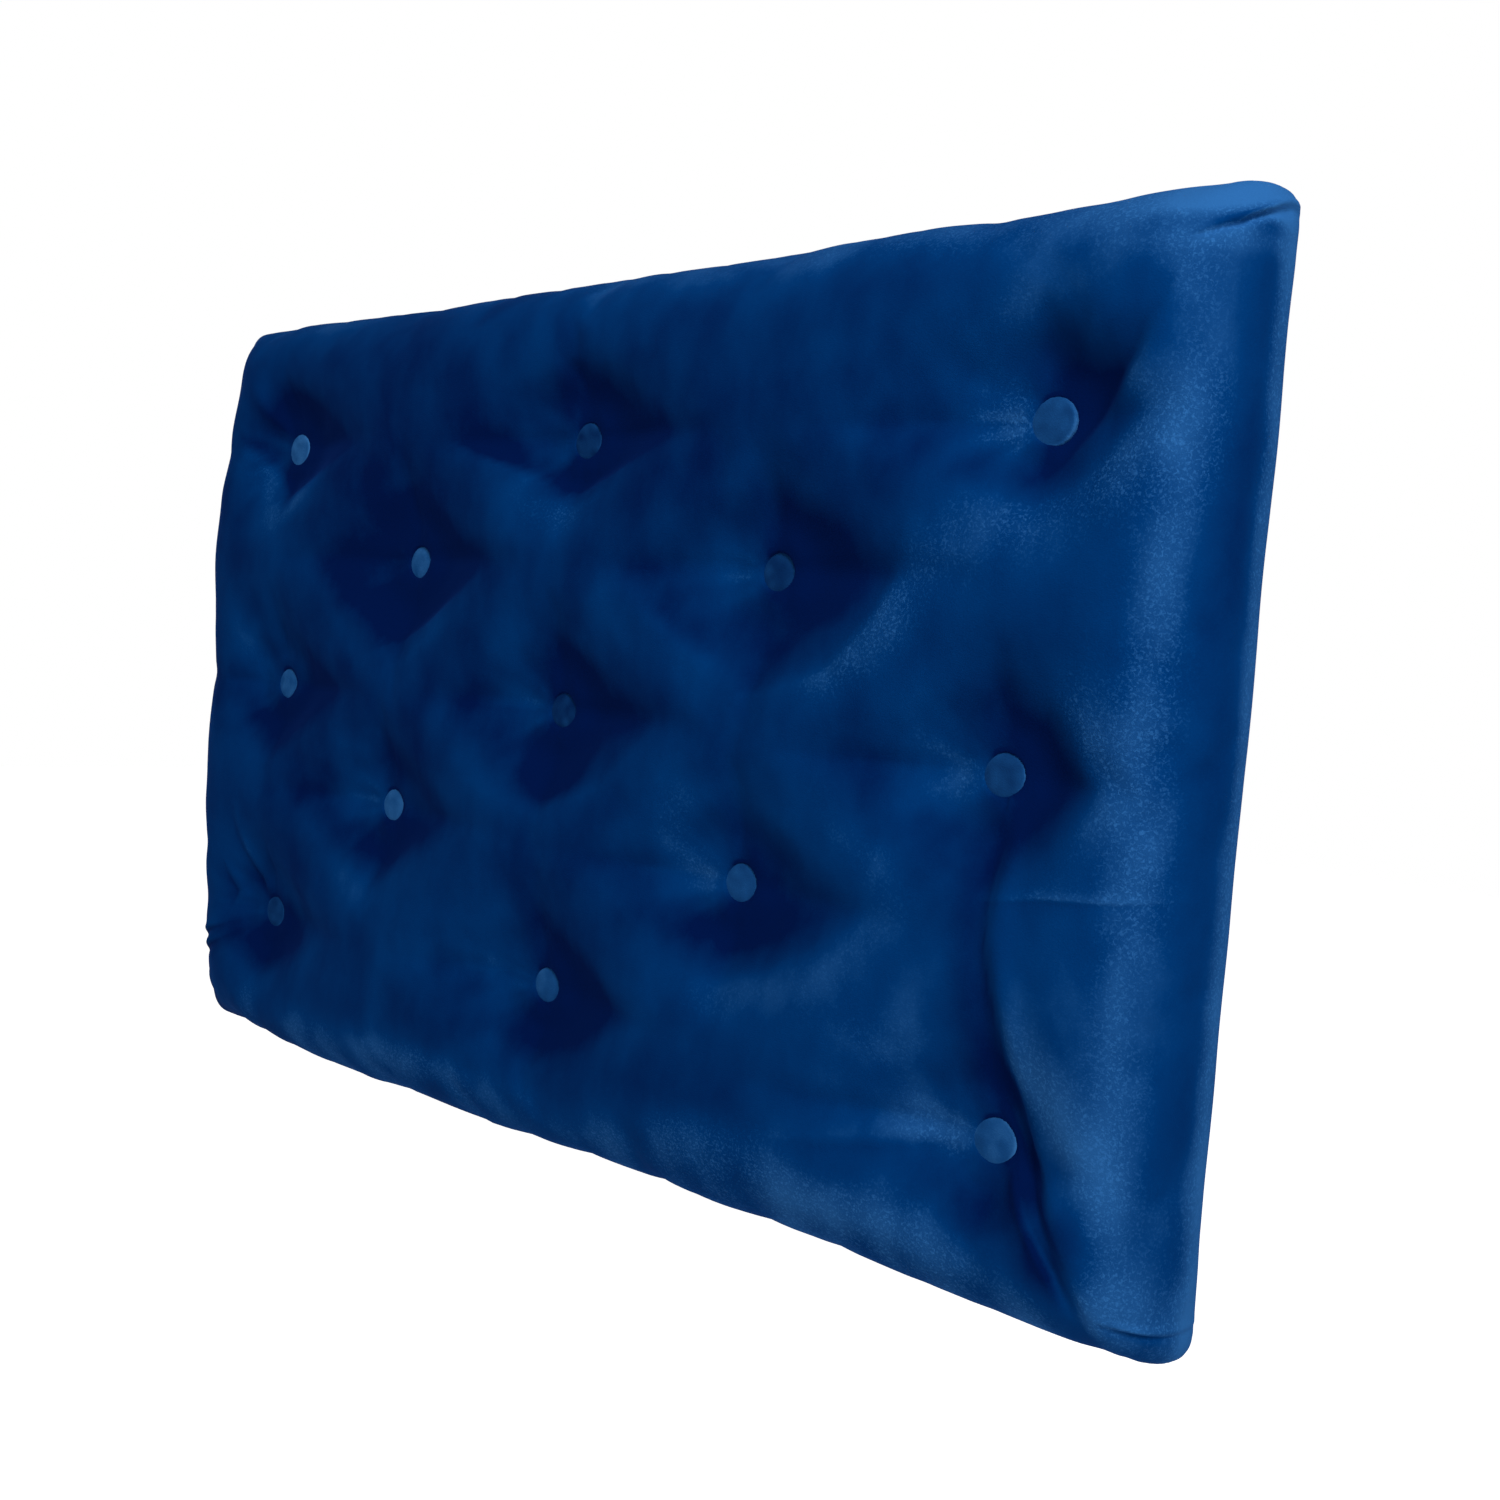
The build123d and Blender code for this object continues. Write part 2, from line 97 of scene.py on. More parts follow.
# A bow grows between these two distances from the outline, and is full at this share of the rolled
# edge's rise. On the right-hand side part of it is kept at the back.
bow_inner = 2.5 * edge_reach
bow_outer = 0.5 * edge_reach
bow_front_share = 0.6
right_bow_back = 0.5

# An inward bow stays clear of the wooden core, and grows in front of it
core_spare = 0.5 * MM
core_run = 25 * MM
deepest_bow = 20 * MM

# The hollow round each button: a steep funnel with a groove below it, and a wide diamond with its
# point below. Between the hollows the padding stands proud.
funnel_share = 0.45
funnel_spread = 42 * MM
funnel_power = 1.15
funnel_groove = 30 * MM
groove_stretch = 0.8
groove_fade = 0.25
hollow_left = 135 * MM
hollow_right = 125 * MM
hollow_up = 72 * MM
hollow_down = 86 * MM
row_drop_share = {"a": 0.62, "b": 1.0, "c": 0.82, "d": 0.8, "e": 0.7}
hollow_edge_gap = 28 * MM
hollow_corner = 1.15
hollow_rim = 0.76
hollow_wall = 4.6
draw_reach = 1.7 * edge_reach
puff = 7 * MM
puff_reach = 2 * edge_reach
puff_power = 1.5
ripple = 1.2 * MM
ripple_size = 70 * MM

# Creases in the cloth. Each has its points in millimetres from the panel's middle, its width, how
# far the cloth stands up left of it, and how much paler it is painted left and right of it, as
# painted light and shade beside the fold. Left and right are those of its run, from its first point
# to its last, as seen from the front.
creases = [
    # the fold that runs from the upper right down past button a5
    ([(406, 228), (396, 208), (367, 173), (336, 142)], 9, 2.4, 0.12, -0.18),
    # the fold from c5 past e5 to the lower right corner, and the creases beside it
    ([(341, -25), (347, -95), (358, -155)], 9, 2.0, -0.03, -0.12),
    ([(347, -95), (358, -155), (374, -196), (394, -230), (412, -266), (420, -292)],
     9, 2.6, 0.13, -0.17),
    ([(355, -178), (365, -196), (370, -212)], 3.5, -1.2, 0.10, -0.10),
    ([(368, -218), (384, -238), (396, -254), (404, -270)], 3.5, -1.2, 0.12, -0.08),
    ([(374, -208), (388, -226), (400, -244)], 3.5, 0.9, -0.10, 0.06),
    # the soft fold left of e5
    ([(240, -224), (288, -214), (334, -204)], 9, 1.4, 0.11, -0.12),
    # the folds gathered at e1
    ([(-418, -223), (-400, -213), (-378, -205)], 4, 1.5, 0.08, -0.18),
    ([(-418, -237), (-400, -227), (-378, -217)], 4, 1.5, 0.08, -0.18),
    ([(-366, -110), (-352, -158), (-337, -178)], 6, 1.4, 0.14, -0.10),
    ([(-380, -160), (-372, -178), (-378, -194)], 5, 1.2, 0.06, -0.14),
    ([(-421, -246), (-413, -260), (-406, -274)], 4, -1.6, -0.20, 0.10),
    # the tucks at the right-hand corners
    ([(422, 266), (436, 272), (446, 281), (452, 292)], 2.0, 2.0, -0.24, 0.22),
    ([(424, -272), (452, -277)], 2.6, 1.6, 0.05, -0.14),
    # a brushed line in the pile right of c5
    ([(342, -71), (373, -65), (406, -62), (436, -58)], 2.5, 0.3, 0.12, -0.06),
    # the lips of the hollows: the cloth folds over from the shaded flank to the lit bulge below
    ([(-394, 198), (-362, 175), (-336, 152)], 10, -1.0, -0.14, 0.16),
    ([(-336, 152), (-302, 164), (-266, 178)], 10, -1.0, -0.14, 0.12),
    ([(-104, 182), (-56, 168), (-4, 150)], 8, -1.5, -0.13, 0.12),
    ([(-4, 150), (30, 159), (64, 172)], 7, -1.5, -0.12, 0.14),
    ([(-250, 82), (-215, 58), (-180, 41)], 10, -1.0, -0.06, 0.04),
    ([(-180, 41), (-136, 62), (-92, 88)], 8, -1.3, -0.12, 0.15),
    ([(64, 92), (112, 58), (176, 30)], 10, -1.0, -0.04, 0.04),
    ([(176, 30), (224, 44), (256, 76), (268, 112)], 10, -1.0, -0.06, 0.09),
    ([(-64, -52), (-4, -62), (52, -40), (84, -6)], 10, -1.0, -0.05, 0.06),
    ([(150, -150), (196, -140), (232, -118), (262, -88)], 10, -1.0, -0.05, 0.02),
]

# Patches painted paler or darker, partly the pile's stroked lay and partly painted light and shade:
# middle, half length and half width in millimetres, the length's slope in degrees, and how much
# paler it is painted
strokes = [
    (-218, 150, 95, 62, 0, -0.14),
    (-228, 88, 45, 26, 0, -0.12),
    (-238, 58, 50, 26, 0, -0.10),
    (-190, -112, 42, 24, 0, -0.10),
    (-88, 190, 50, 32, 0, -0.08),
    (118, 162, 40, 30, 0, -0.08),
    (168, 192, 46, 26, 0, -0.06),
    (-80, 62, 28, 36, 0, -0.06),
    (178, 18, 40, 22, 0, -0.10),
    (280, 156, 34, 22, 0, -0.10),
    (330, -68, 42, 20, 0, -0.12),
    (338, -120, 42, 12, 100, -0.12),
    (398, -252, 48, 22, 112, -0.26),
    (362, -250, 28, 16, 0, -0.12),
    (-372, -226, 32, 28, 0, -0.04),
    (-350, -188, 22, 22, 0, -0.04),
    (6, -240, 30, 14, 0, -0.06),
    (-345, 122, 48, 18, 0, 0.10),
    (-18, 130, 46, 26, 0, 0.14),
    (-352, 152, 40, 12, -55, 0.08),
    (-308, 152, 46, 10, 40, 0.08),
    (-225, 40, 55, 13, -40, 0.08),
    (-125, 62, 55, 13, 38, 0.09),
    (75, 58, 70, 16, -32, 0.08),
    (-90, -30, 60, 12, -35, 0.06),
    (250, -45, 60, 14, -38, 0.08),
    (275, -100, 55, 14, 45, 0.05),
    (-45, -150, 60, 24, 0, 0.05),
    (-225, -135, 60, 12, -30, 0.05),
    (265, -155, 60, 30, 0, 0.05),
    (-185, 96, 70, 40, 0, -0.07),
    (150, -118, 66, 16, 0, -0.07),
    (22, -14, 44, 22, 60, -0.06),
    (-350, -208, 45, 15, 0, -0.08),
    (-345, 222, 55, 16, 0, -0.08),
    (310, 120, 48, 18, 0, 0.06),
    (258, 62, 62, 16, 52, 0.08),
    (326, 206, 44, 26, 60, 0.11),
    (284, 208, 24, 22, 0, -0.10),
    (430, 174, 44, 16, 90, 0.14),
    (408, 212, 30, 24, 90, -0.20),
    (340, 178, 24, 30, 0, 0.08),
    (332, 0, 46, 14, 90, 0.08),
    (330, -198, 30, 18, 0, 0.04),
    (-292, -176, 38, 20, -20, 0.10),
    (300, -262, 70, 16, 0, 0.10),
    (404, -222, 30, 14, -60, -0.12),
    (160, 196, 60, 26, 0, -0.06),
    (148, 98, 34, 14, 90, -0.08),
    (382, -32, 30, 26, 0, -0.10),
    (276, -30, 32, 24, 0, -0.08),
    (352, -258, 36, 20, 0, -0.12),
    (284, 88, 32, 30, 0, 0.06),
    (132, -176, 66, 24, 0, 0.07),
    (-320, 20, 42, 28, 0, 0.06),
    (-90, -256, 90, 18, 0, 0.05),
    (152, -40, 32, 16, 0, 0.06),
    (150, 128, 30, 22, 60, 0.08),
    (146, 76, 30, 22, -60, 0.06),
    (-345, 30, 38, 20, 0, 0.12),
    (-34, 34, 38, 20, 0, 0.08),
    (-204, -50, 46, 28, -30, 0.12),
    (134, -56, 38, 28, -30, 0.10),
    (200, -68, 30, 22, -45, 0.10),
    (-312, -165, 48, 14, -35, 0.14),
    (-84, -180, 44, 14, 0, 0.12),
    (392, -178, 60, 16, -55, 0.12),
    (180, -246, 80, 26, 0, 0.12),
    (262, -258, 60, 16, 0, 0.10),
    (-130, -262, 100, 14, 0, 0.08),
    (322, -222, 34, 18, 0, 0.08),
    (390, 16, 30, 44, 0, 0.07),
    (168, 28, 22, 44, 0, -0.09),
    (95, 146, 30, 20, 0, -0.06),
    (-56, 190, 44, 20, 0, -0.06),
    (100, -78, 66, 18, 0, 0.08),
    (-130, -72, 44, 22, 0, 0.08),
    (-322, 24, 44, 22, -45, 0.06),
    (-300, -160, 44, 14, -40, 0.08),
    (-225, -78, 30, 14, 0, 0.06),
    (250, 86, 20, 26, 0, 0.06),
    (386, 140, 52, 18, 40, 0.06),
    (376, -186, 56, 9, 118, 0.08),
    (-80, 62, 40, 26, 60, -0.06),
    (-250, 128, 40, 22, 0, -0.05),
    (152, -20, 24, 30, 0, -0.06),
    (-110, 14, 24, 34, 0, -0.05),
    (272, -212, 30, 10, 0, -0.08),
    (268, -174, 30, 12, 0, -0.08),
    (60, -264, 56, 14, 0, 0.07),
    (165, -244, 56, 16, 0, 0.07),
    (-100, -262, 34, 14, 0, 0.06),
    (436, 104, 34, 12, 90, -0.10),
    (428, -112, 28, 12, 90, -0.08),
    (402, -205, 26, 12, 90, -0.08),
    (444, -218, 32, 8, 90, 0.12),
    (352, -105, 50, 9, 98, -0.09),
    (406, 273, 24, 8, 0, -0.14),
    (438, 264, 14, 7, 0, 0.12),
    (278, 163, 38, 14, 0, -0.08),
    (-80, 148, 42, 24, 0, -0.06),
    (130, 84, 30, 22, 0, -0.06),
    (112, -122, 44, 18, 0, -0.06),
    (-190, -96, 44, 14, 0, -0.06),
    (-375, -34, 26, 24, 0, -0.06),
    (-250, -22, 28, 18, 0, -0.06),
    (-178, -205, 20, 40, 0, -0.05),
    (8, -62, 18, 24, 0, -0.06),
]

# Creases and strokes: how each fades along its length, and how wide its shade lies
crease_fade_start = 0.1
crease_fade_run = 0.85
crease_gain = 2.2
crease_shade_width = 2.2
crease_core = 0.4
stroke_edge = 1.3

# How far the cloth stands up round a button, and how far that lip reaches
lip_height = 6.6 * MM
lip_start = 9.5 * MM
lip_width = 2.5 * MM
lip_gap = 0.9 * MM
lip_gap_turn = (-0.3, 0.9)
lip_spread = 16 * MM
upward_share = 0.8

# Where the cloth's faces are split, to carry the narrow creases and the lips
fine_crease = 5.5
crease_near = 3
button_near = 1.8 * button_radius
split_cuts = 2

# The cloth's last relaxing, by simulation
cloth_pressure = 4
cloth_stiffness = 40
cloth_bending = 0.4
cloth_growth = 0.004
cloth_frames = 20
cloth_move = 2.6 * MM

# The sizes of the materials' patterns: the velvet's brushed patches, crushed pile and tufts, then
# wood, plating, twine and nylon. Tufts, wood fibres and the nylon's spark grain are finer than this
# in the real thing, and are drawn as coarse as they need to be to show.
patch_size = 130 * MM
brush_size = 30 * MM
crush_size = 1.6 * MM
pile_size = 0.9 * MM
pine_ring_size = 9 * MM
birch_ring_size = 14 * MM
beech_ring_size = 3 * MM
fibre_size = 0.8 * MM
grain_squeeze = 0.06
cloud_size = 7 * MM
scuff_size = 1.2 * MM
strand_size = 6 * MM
spark_size = 0.5 * MM

# How pale the cloth is painted, from 0 to 1: the plain cloth, and what each part adds, mostly
# painted light and shade
lay_plain = 0.30
# Painted shade in the hollows, painted light below and left of them, a painted shadow by each
# button
painted_hollow_shade = -0.22
painted_light_below_hollow = 0.08
painted_light_left_flank = 0.06
painted_light_rays = 0.10
painted_light_beside_button = 0.11
painted_shadow_at_seat = -0.4
# Painted sheen, light and shade along the edges, and a painted highlight at the top right corner
painted_sheen_bottom = 0.18
painted_sheen_bottom_streaks = 0.12
painted_light_top = 0.17
lay_streaks = 0.03
painted_light_across = 0.12
painted_light_roll = 0.18
painted_shade_turned = -0.09
painted_sheen_rim = 0.34
painted_highlight_cap = 0.40
lay_middle = 0.32
lay_contrast = 1.08

# Where those parts lie. A reach is a share of a hollow, a run a distance, and a pair is where a
# part starts and where it is full. Brush marks have their width, their length and a shift.
flank_turn = 0.95 * math.pi
flank_spread = 0.85
flank_run = (45 * MM, 110 * MM)
flank_kept = 0.85
dark_reach = (0.5, 0.9)
lit_reach = (0.78, 0.95)
lit_end_reach = (1.02, 1.4)
lit_spread = 1.05
ray_start = (12 * MM, 22 * MM)
ray_grain = (4, 3.1, 25)
pale_place = (-22 * MM, -4 * MM)
pale_half = (18 * MM, 17 * MM)
seat_run = (12 * MM, 16 * MM)
seat_turn = (-0.2, 0.8)
bottom_height = 75 * MM
bottom_run = 60 * MM
top_height = 48 * MM
top_run = 44 * MM
across_run = (480 * MM, 20 * MM)
roll_run = (90 * MM, 40 * MM)
roll_at = (0.47, 0.25)
turned_run = (30 * MM, 12 * MM)
turned_at = (0.92, 0.15)
rim_depth = (33 * MM, 12 * MM)
rim_run = (14 * MM, 6 * MM)
cap_run = (70 * MM, 12 * MM)
cap_height = (2 * MM, 14 * MM)
bottom_streak = (30 * MM, 60 * MM, 2)
plain_streak = (34 * MM, 80 * MM, 7)
streak_slant = 0.3
streak_gain = 1.6

tiny = 1e-9


def bare():
    """Deselects everything, so that an operator acts on the new object alone."""
    bpy.ops.object.select_all(action="DESELECT")


def take(obj):
    bare()
    obj.select_set(True)
    bpy.context.view_layer.objects.active = obj


def named(name):
    obj = bpy.context.active_object
    obj.name = name
    obj.data.name = name
    return obj


def apply_modifiers(obj):
    take(obj)
    for modifier in list(obj.modifiers):
        bpy.ops.object.modifier_apply(modifier=modifier.name)


def rows_of(items, field):
    """A place or a normal of each of a mesh's vertices or faces, as rows of three."""
    flat = np.empty(len(items) * 3)
    items.foreach_get(field, flat)
    return flat.reshape(-1, 3)


def points_of(obj):
    return rows_of(obj.data.vertices, "co")


def normals_of(obj):
    return rows_of(obj.data.vertices, "normal")


def set_points(obj, points):
    obj.data.vertices.foreach_set("co", points.ravel())
    obj.data.update()


def change_faces(obj, change):
    """Applies a change to all of an object's faces."""
    take(obj)
    bpy.ops.object.mode_set(mode="EDIT")
    bpy.ops.mesh.select_all(action="SELECT")
    change()
    bpy.ops.object.mode_set(mode="OBJECT")


def pick_faces(obj, chosen):
    """Selects some of an object's faces, and stays in edit mode."""
    take(obj)
    bpy.ops.object.mode_set(mode="EDIT")
    bpy.ops.mesh.select_mode(type="FACE")
    bpy.ops.mesh.select_all(action="DESELECT")
    bpy.ops.object.mode_set(mode="OBJECT")
    obj.data.polygons.foreach_set("select", chosen)
    bpy.ops.object.mode_set(mode="EDIT")


def fall(value, low, high):
    """A smooth step from 0 at low to 1 at high."""
    share = np.clip((value - low) / (high - low), 0, 1)
    return share * share * (3 - 2 * share)


def bell(value, middle, spread):
    """1 at the middle, falling off smoothly on both sides."""
    return np.exp(-(((value - middle) / spread) ** 2))


# Materials


def srgb(code):
    """An sRGB hex colour as linear values."""
    parts = [int(code[start:start + 2], 16) / 255 for start in (0, 2, 4)]
    linear = [
        part / 12.92 if part <= 0.04045 else ((part + 0.055) / 1.055) ** 2.4 for part in parts
    ]
    return linear + [1]


def add_node(tree, kind, links=None, **settings):
    """Adds a node: its properties and its sockets' values by name, then its incoming links."""
    made = tree.nodes.new(kind)
    for key, value in settings.items():
        if key.startswith("in_"):
            index = key[3:]
            socket = int(index) if index.isdigit() else index.replace("_", " ")
            made.inputs[socket].default_value = value
        else:
            setattr(made, key, value)
    for socket, source in (links or {}).items():
        start = source.outputs[0] if isinstance(source, bpy.types.Node) else source
        tree.links.new(start, made.inputs[socket])
    return made


def new_material(name, **values):
    """A material, its shader with some values, and the Object coordinates for its patterns."""
    material = bpy.data.materials.new(name)
    material.use_nodes = True
    tree = material.node_tree
    tree.nodes.clear()
    output = add_node(tree, "ShaderNodeOutputMaterial")
    shader = add_node(tree, "ShaderNodeBsdfPrincipled", **values)
    tree.links.new(shader.outputs[0], output.inputs["Surface"])
    coords = add_node(tree, "ShaderNodeTexCoord")
    return material, tree, shader, coords.outputs["Object"]


def wear(obj, material):
    obj.data.materials.clear()
    obj.data.materials.append(material)


def velvet(name, dark, middle, pale, sheen, crush_depth):
    """Short-pile polyester velvet: matt face on, its pile brushed and crushed in patches."""
    material, tree, shader, place = new_material(
        name, in_Roughness=0.9, in_Specular_IOR_Level=0.02,
        in_Sheen_Weight=sheen, in_Sheen_Roughness=0.4, in_Sheen_Tint=srgb("2a68d8"),
    )
    # The attribute read here holds the cloth's paleness: painted light, shade and sheen with the
    # pile's lay
    lay_and_painted_light = add_node(tree, "ShaderNodeAttribute", attribute_name="lay_and_painted_light").outputs["Fac"]
    patches = add_node(
        tree, "ShaderNodeTexNoise", {"Vector": place}, in_Scale=1 / patch_size, in_Detail=3.0
    )
    patch_shade = add_node(
        tree, "ShaderNodeMapRange", {"Value": patches},
        in_From_Min=0.35, in_From_Max=0.65, in_To_Min=-0.09, in_To_Max=0.09,
    )
    upright = add_node(tree, "ShaderNodeMapping", {"Vector": place}, in_Scale=(1, 1, 0.6))
    brushed = add_node(
        tree, "ShaderNodeTexNoise", {"Vector": upright}, in_Scale=1 / brush_size, in_Detail=4.0
    )
    brush_shade = add_node(
        tree, "ShaderNodeMapRange", {"Value": brushed},
        in_From_Min=0.35, in_From_Max=0.65, in_To_Min=-0.06, in_To_Max=0.06,
    )
    crushed = add_node(
        tree, "ShaderNodeTexNoise", {"Vector": place},
        in_Scale=1 / crush_size, in_Detail=2.0, in_Distortion=0.8,
    )
    crush_shade = add_node(
        tree, "ShaderNodeMapRange", {"Value": crushed},
        in_From_Min=0.5, in_From_Max=0.7, in_To_Min=0.0, in_To_Max=crush_depth,
    )
    # Pale specks of crushed pile, strongest where the cloth is painted paler: partly the pile,
    # partly painted glints
    crush_where_lit = add_node(
        tree, "ShaderNodeMapRange", {"Value": lay_and_painted_light},
        in_From_Min=0.42, in_From_Max=0.62, in_To_Min=0.12, in_To_Max=1.0,
    )
    crush = add_node(
        tree, "ShaderNodeMath", {0: crush_shade, 1: crush_where_lit}, operation="MULTIPLY"
    )
    shade = lay_and_painted_light
    for mark in (patch_shade, brush_shade, crush):
        shade = add_node(tree, "ShaderNodeMath", {0: shade, 1: mark}, operation="ADD")
    ramp = add_node(tree, "ShaderNodeValToRGB", {"Fac": shade})
    ramp.color_ramp.elements.new(0.5)
    stops = ((0.13, dark), (0.5, middle), (0.92, pale))
    for element, (position, code) in zip(ramp.color_ramp.elements, stops):
        element.position = position
        element.color = srgb(code)
    tree.links.new(ramp.outputs[0], shader.inputs["Base Color"])
    pile = add_node(
        tree, "ShaderNodeTexNoise", {"Vector": place}, in_Scale=1 / pile_size, in_Detail=2.0
    )
    dents = add_node(tree, "ShaderNodeMath", {0: crushed, 1: crush_where_lit}, operation="MULTIPLY")
    height = add_node(tree, "ShaderNodeMath", {0: pile, 1: dents}, operation="ADD")
    bump = add_node(
        tree, "ShaderNodeBump", {"Height": height}, in_Strength=0.5, in_Distance=0.5 * MM
    )
    tree.links.new(bump.outputs[0], shader.inputs["Normal"])
    return material


def wood(name, pale, dark, along, ring_size):
    """Planed softwood or veneer: grain lines along one axis, wavy, with a dull satin face."""
    material, tree, shader, place = new_material(name, in_Roughness=0.62)
    squeeze = [1.0, 1.0, 1.0]
    squeeze[along] = grain_squeeze
    grain_place = add_node(tree, "ShaderNodeMapping", {"Vector": place}, in_Scale=squeeze)
    rings = add_node(
        tree, "ShaderNodeTexNoise", {"Vector": grain_place},
        in_Scale=1 / ring_size, in_Detail=4.0, in_Distortion=1.2,
    )
    fibre = add_node(
        tree, "ShaderNodeTexNoise", {"Vector": grain_place}, in_Scale=1 / fibre_size, in_Detail=3.0
    )
    both = add_node(tree, "ShaderNodeMath", {0: rings, 1: fibre}, operation="ADD")
    tone = add_node(
        tree, "ShaderNodeMapRange", {"Value": both}, in_From_Min=0.75, in_From_Max=1.25
    )
    ramp = add_node(tree, "ShaderNodeValToRGB", {"Fac": tone})
    for element, code in zip(ramp.color_ramp.elements, (pale, dark)):
        element.color = srgb(code)
    tree.links.new(ramp.outputs[0], shader.inputs["Base Color"])
    bump = add_node(
        tree, "ShaderNodeBump", {"Height": both}, in_Strength=0.3, in_Distance=0.2 * MM
    )
    tree.links.new(bump.outputs[0], shader.inputs["Normal"])
    return material


def zinc_plate(name, tone, roughness):
    """Zinc-plated pressed steel: cool grey metal with faint cloudy plating and scuffs."""
    material, tree, shader, place = new_material(name, in_Metallic=1.0)
    clouds = add_node(
        tree, "ShaderNodeTexNoise", {"Vector": place}, in_Scale=1 / cloud_size, in_Detail=3.0
    )
    ramp = add_node(tree, "ShaderNodeValToRGB", {"Fac": clouds})
    for element, position, code in zip(ramp.color_ramp.elements, (0.3, 0.7), (tone, "d4d8dc")):
        element.position = position
        element.color = srgb(code)
    tree.links.new(ramp.outputs[0], shader.inputs["Base Color"])
    dull = add_node(
        tree, "ShaderNodeMapRange", {"Value": clouds},
        in_To_Min=roughness - 0.08, in_To_Max=roughness + 0.12,
    )
    tree.links.new(dull.outputs[0], shader.inputs["Roughness"])
    scuffs = add_node(
        tree, "ShaderNodeTexNoise", {"Vector": place}, in_Scale=1 / scuff_size, in_Detail=2.0
    )
    bump = add_node(
        tree, "ShaderNodeBump", {"Height": scuffs}, in_Strength=0.15, in_Distance=0.1 * MM
    )
    tree.links.new(bump.outputs[0], shader.inputs["Normal"])
    return material


def fibre_cloth(name, dark, pale, mesh_size, roughness):
    """Fibres pressed into a sheet: a fine random mat with small bonded spots."""
    material, tree, shader, place = new_material(
        name, in_Roughness=roughness, in_Specular_IOR_Level=0.25
    )
    mat = add_node(
        tree, "ShaderNodeTexNoise", {"Vector": place},
        in_Scale=1 / mesh_size, in_Detail=5.0, in_Distortion=1.5,
    )
    spots = add_node(
        tree, "ShaderNodeTexVoronoi", {"Vector": place}, in_Scale=1 / (1.6 * mesh_size)
    )
    ramp = add_node(tree, "ShaderNodeValToRGB", {"Fac": mat})
    for element, position, code in zip(ramp.color_ramp.elements, (0.35, 0.7), (dark, pale)):
        element.position = position
        element.color = srgb(code)
    tree.links.new(ramp.outputs[0], shader.inputs["Base Color"])
    height = add_node(tree, "ShaderNodeMath", {0: mat, 1: spots}, operation="ADD")
    bump = add_node(
        tree, "ShaderNodeBump", {"Height": height}, in_Strength=0.5, in_Distance=0.3 * MM
    )
    tree.links.new(bump.outputs[0], shader.inputs["Normal"])
    return material


def twisted_twine(name):
    """Waxed nylon tufting twine: pale, twisted in slanting strands, with a slight shine."""
    material, tree, shader, place = new_material(name, in_Roughness=0.5)
    slant = add_node(tree, "ShaderNodeMapping", {"Vector": place}, in_Rotation=(0.6, 0.4, 0))
    strands = add_node(
        tree, "ShaderNodeTexWave", {"Vector": slant}, in_Scale=1 / strand_size, in_Distortion=1.0
    )
    ramp = add_node(tree, "ShaderNodeValToRGB", {"Fac": strands})
    for element, code in zip(ramp.color_ramp.elements, ("b9b29c", "e9e4d4")):
        element.color = srgb(code)
    tree.links.new(ramp.outputs[0], shader.inputs["Base Color"])
    bump = add_node(
        tree, "ShaderNodeBump", {"Height": strands}, in_Strength=0.5, in_Distance=0.2 * MM
    )
    tree.links.new(bump.outputs[0], shader.inputs["Normal"])
    return material


def moulded_nylon(name, tone):
    """Injection-moulded nylon: near black, satin, with a fine spark-eroded grain."""
    material, tree, shader, place = new_material(name, in_Roughness=0.45)
    grain = add_node(
        tree, "ShaderNodeTexNoise", {"Vector": place}, in_Scale=1 / spark_size, in_Detail=2.0
    )
    ramp = add_node(tree, "ShaderNodeValToRGB", {"Fac": grain})
    for element, code in zip(ramp.color_ramp.elements, (tone, "2a2a2c")):
        element.color = srgb(code)
    tree.links.new(ramp.outputs[0], shader.inputs["Base Color"])
    bump = add_node(
        tree, "ShaderNodeBump", {"Height": grain}, in_Strength=0.2, in_Distance=0.1 * MM
    )
    tree.links.new(bump.outputs[0], shader.inputs["Normal"])
    return material


# The velvet cover: one sheet from crown to hem


def edge_profile():
    """Arc length, inset and depth along the cover, from the front's edge to the raw hem."""
    inset, depth = [], []
    for step in range(roll_steps + 1):
        angle = math.pi / 2 * (1 - step / roll_steps)
        inset.append(edge_reach * (1 - math.cos(angle)))
        depth.append(edge_start + edge_rise * math.sin(angle))
    for step in range(hem_steps + 1):
        angle = math.pi / 2 * step / hem_steps
        inset.append(hem_turn * (1 - math.cos(angle)))
        depth.append(hem_back + hem_turn * (1 - math.sin(angle)))
    inset.append(hem_width)
    depth.append(hem_back)
    inset, depth = np.array(inset), np.array(depth)
    length = np.concatenate([[0], np.cumsum(np.hypot(np.diff(inset), np.diff(depth)))])
    return length, inset, depth


def bow_at(share, bows):
    """The bulge at a place along a side, from -1 to 1, as a smooth curve through its steps."""
    stops = np.linspace(-1, 1, len(bows))
    found = np.zeros(len(share))
    for stop, bow in zip(stops, bows):
        step = np.abs(share - stop) / (stops[1] - stops[0])
        found = found + bow * (0.5 + 0.5 * np.cos(math.pi * np.minimum(step, 1)))
    return found


def clear_of_core(shift, depth):
    """A bow's shift, with an inward one held back beside the wooden core."""
    spare = core_spare + deepest_bow * fall(depth, core_front, core_front + core_run)
    return np.maximum(shift, -spare)


